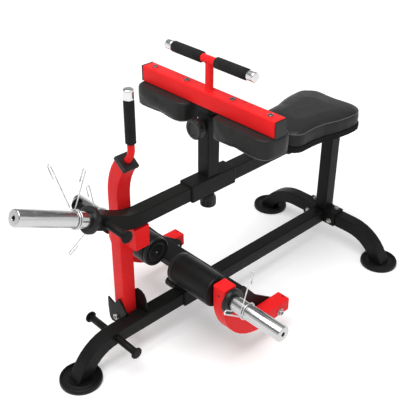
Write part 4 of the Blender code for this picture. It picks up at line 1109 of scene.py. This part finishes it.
class CALF_OT_welds(bpy.types.Operator):
    """Lay the weld beads where the tubes meet their plates and sleeves"""
    bl_idname = "calf.welds"
    bl_label = "Weld beads"

    def execute(self, context):
        s = context.scene.calf_sizes
        seat_y = middle_of("seat_post").y
        pad_y = middle_of("pad_inner_post").y
        foot_y = middle_of("foot_carriage").y
        for name, node, y, z in (
                ("seat_post_weld", "seat_post", seat_y, corners("seat_post")[0].z + 0.0008),
                ("outer_post_weld", "pad_carriage", pad_y, carriage_top("pad_carriage")),
                ("foot_post_weld", "foot_carriage", foot_y, carriage_top("foot_carriage")),
                ("footrest_weld", "footrest_beam", foot_y, corners("footrest_beam")[0].z - 0.0006)):
            add_to(node, bead(name, square_points(y, z), s.weld), "painted_black")
        return {"FINISHED"}


def carriage_top(node):
    """The height of a carriage sleeve's top face, where its post stands."""
    places = [vert.co for vert in frame["nodes"][node].data.vertices]
    inner, outer = SLEEVE_EDGE
    return max(place.z for place in places if inner < abs(place.x) < outer)


class CALF_OT_horns(bpy.types.Operator):
    """Turn the chrome weight horns on their spindles, with a dark disc of painted shade in the socket in each end,
    and their collars
    """
    bl_idname = "calf.horns"
    bl_label = "Weight horns and collars"

    def execute(self, context):
        s = context.scene.calf_sizes
        for node, stop, axis, hub in HORNS:
            axis = Vector(axis)
            root, reach = run_of(node, axis)
            stop_root, stop_reach = run_of(stop, axis)
            shoulder = (stop_root - root).dot(axis) + stop_reach + 0.0002
            profile = [(0.0, 0.0), (SPINDLE_RADIUS, 0.0), (SPINDLE_RADIUS, shoulder)]
            profile += within(HORN_RADIUS, (0.0006, shoulder), (0.0, shoulder + 0.0006))
            profile += below(HORN_RADIUS, reach, (0.0, 0.0034), (0.0005, 0.0018), (0.0016, 0.0006),
                             (0.0034, 0.0))
            profile += below(s.socket, reach, (-0.0008, 0.0), (0.0, 0.0007), (0.0, 0.008),
                             (s.socket, 0.008))
            turn_for(node, profile, root, axis, s.steps * 2, "horn")
            # A dark disc of painted shade at the bottom of each horn's socket
            floor = socket_painted_shade(node + "_socket", root + axis * (reach - 0.007), axis, s.socket * 0.97)
            add_to(node, floor, "plastic")
            profile = [(BORE_RADIUS, 0.0), (COLLAR_HUB_RADIUS, 0.0), (COLLAR_HUB_RADIUS, hub)]
            profile += within(COLLAR_RADIUS, (0.0015, hub), (0.0, hub + 0.0015))
            profile += below(COLLAR_RADIUS, stop_reach, (0.0, 0.0035), (0.0008, 0.0014), (0.003, 0.0),
                             (0.009, 0.0), (0.0105, 0.0012))
            profile += [(BORE_RADIUS, stop_reach - 0.0012), (BORE_RADIUS, 0.0)]
            turn_for(stop, profile, stop_root, axis, s.steps)
        return {"FINISHED"}


def run_of(node, axis):
    """Where a round node's axis starts, and its length along it."""
    places = [vert.co for vert in frame["nodes"][node].data.vertices]
    low = min(place.dot(axis) for place in places)
    high = max(place.dot(axis) for place in places)
    flat = [place - axis * place.dot(axis) for place in places]
    middle = Vector([(min(part) + max(part)) / 2.0 for part in zip(*flat)])
    middle -= axis * middle.dot(axis)
    return middle + axis * low, high - low


class CALF_OT_rollers(bpy.types.Operator):
    """Turn the two rollers, with a shallow groove near each end"""
    bl_idname = "calf.rollers"
    bl_label = "Rollers"

    def execute(self, context):
        s = context.scene.calf_sizes
        for word, side in SIDES:
            node = word + "_roller"
            axis = Vector((side, 0.0, 0.0))
            root, reach = run_of(node, axis)
            radius = corners(node)[1].z - middle_of(node).z
            profile = [(BORE_RADIUS, 0.0)]
            profile += within(radius, (0.0035, 0.0), (0.0012, 0.0008), (0.0002, 0.003), (0.0, 0.006),
                              *ROLLER_GROOVE, (0.0, reach / 2.0))
            profile += below(radius, reach, *reversed(ROLLER_GROOVE), (0.0, 0.004), (0.001, 0.0012),
                             (0.0035, 0.0))
            profile += [(BORE_RADIUS, reach), (BORE_RADIUS, 0.0)]
            turn_for(node, profile, root, axis, s.steps * 2)
        return {"FINISHED"}


class CALF_OT_stage(bpy.types.Operator):
    """Lay the floor, hang the lamps and set the camera"""
    bl_idname = "calf.stage"
    bl_label = "Floor, lamps and camera"

    def execute(self, context):
        s = context.scene.calf_stage
        bpy.ops.object.select_all(action="DESELECT")
        bpy.ops.mesh.primitive_plane_add(size=FLOOR_SIZE, location=(0.0, 0.0, -FLOOR_DROP))
        floor = context.active_object
        floor.name = "floor"
        floor.data.materials.append(floor_material(s.floor))
        world_light(context.scene, s.world)
        lamp("key_lamp", *KEY_LAMP, s.key)
        lamp("side_lamp", *SIDE_LAMP, s.side)
        camera(context.scene, s.lens)
        context.scene.view_settings.view_transform = "Standard"
        return {"FINISHED"}


def floor_material(colour):
    """Pale matt floor that the camera sees a little lighter, with the shadows kept."""
    floor = Finish("pale_floor", colour, 0.9, gloss=0.0)
    away = floor.add("VectorMath", floor.place, operation="LENGTH").outputs["Value"]
    glow = floor.add("Emission", Strength=floor.add("MapRange", away, *GLOW_REACH, *GLOW))
    shown = floor.seen_directly(floor.add("Emission", Strength=0.0), glow)
    floor.fed(floor.nodes["Material Output"], floor.add("AddShader", floor.shader, shown))
    return floor.made


def world_light(scene, strength):
    """Soft light from all round. What the camera, metal and glass see is white low down and overhead."""
    scene.world = bpy.data.worlds.new("studio")
    room = Graph(scene.world)
    soft = room.fed(room.nodes["Background"], (1.0, 1.0, 1.0, 1.0), strength)
    height = room.add("SeparateXYZ", room.add("TexCoord").outputs["Generated"]).outputs["Z"]
    walls = room.ramp(height, [(position, [shade] * 3) for position, shade in ROOM_SHADES])
    shown = room.seen_directly(soft, room.add("Background", walls, 1.0))
    room.fed(room.nodes["World Output"], shown)


def lamp(name, place, target, size, power):
    """A square area lamp that looks at a point."""
    data = bpy.data.lights.new(name, "AREA")
    data.size = size
    data.energy = power
    made = linked(name, data)
    made.location = place
    made.rotation_euler = (Vector(target) - Vector(place)).to_track_quat("-Z", "Y").to_euler()


def camera(scene, lens):
    """The camera at the photograph's angle, moved from the frame that it was fitted in to this one."""
    pivot = next(joint for joint in frame["joints"] if joint["name"] == "lever_pivot")
    moved = Vector((0.0, pivot["pos_m"][1] - PIVOT_Y, 0.0))
    place = Vector(CAMERA_PLACE) + moved
    forward = (Vector(CAMERA_TARGET) + moved - place).normalized()
    right = forward.cross(Vector((0.0, 0.0, 1.0))).normalized()
    up = right.cross(forward)
    side = right * math.cos(CAMERA_ROLL) + up * math.sin(CAMERA_ROLL)
    top = up * math.cos(CAMERA_ROLL) - right * math.sin(CAMERA_ROLL)
    data = bpy.data.cameras.new("camera")
    data.lens = lens
    data.sensor_width = SENSOR_WIDTH
    turn = Matrix((side, top, -forward)).transposed()
    scene.camera = linked("camera", data)
    scene.camera.matrix_world = Matrix.Translation(place) @ turn.to_4x4()


# The add-on

class CALF_PT_panel(bpy.types.Panel):
    """The pieces and their settings"""
    bl_label = "Calf raise machine"
    bl_idname = "CALF_PT_panel"
    bl_space_type = "VIEW_3D"
    bl_region_type = "UI"
    bl_category = "Calf Raise"

    def draw(self, context):
        for settings in (context.scene.calf_finishes, context.scene.calf_sizes, context.scene.calf_stage):
            box = self.layout.box()
            for name in settings.bl_rna.properties.keys():
                if name not in ("rna_type", "name"):
                    box.prop(settings, name)
        for made in PIECES:
            self.layout.operator(made.bl_idname)


PIECES = [
    CALF_OT_frame_tubes, CALF_OT_red_tubes, CALF_OT_turned_pieces, CALF_OT_feet, CALF_OT_knobs,
    CALF_OT_roller_caps, CALF_OT_bolts, CALF_OT_t_handle, CALF_OT_horns, CALF_OT_rollers,
    CALF_OT_welds, CALF_OT_cushions, CALF_OT_stage,
]
CLASSES = [CalfFinishes, CalfSizes, CalfStage] + PIECES + [CALF_PT_panel]


def register():
    """Register the classes and put the settings on the scene."""
    for made in CLASSES:
        bpy.utils.register_class(made)
    bpy.types.Scene.calf_finishes = PointerProperty(type=CalfFinishes)
    bpy.types.Scene.calf_sizes = PointerProperty(type=CalfSizes)
    bpy.types.Scene.calf_stage = PointerProperty(type=CalfStage)


def unregister():
    """Take the settings off the scene and the classes out."""
    del bpy.types.Scene.calf_stage
    del bpy.types.Scene.calf_sizes
    del bpy.types.Scene.calf_finishes
    for made in reversed(CLASSES):
        bpy.utils.unregister_class(made)


def main():
    """Register the add-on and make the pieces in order."""
    register()
    bpy.ops.calf.frame_tubes()
    bpy.ops.calf.red_tubes()
    bpy.ops.calf.turned_pieces()
    bpy.ops.calf.feet()
    bpy.ops.calf.knobs()
    bpy.ops.calf.roller_caps()
    bpy.ops.calf.bolts()
    bpy.ops.calf.t_handle()
    bpy.ops.calf.horns()
    bpy.ops.calf.rollers()
    bpy.ops.calf.welds()
    bpy.ops.calf.cushions()
    bpy.ops.calf.stage()


if __name__ == "__main__":
    main()
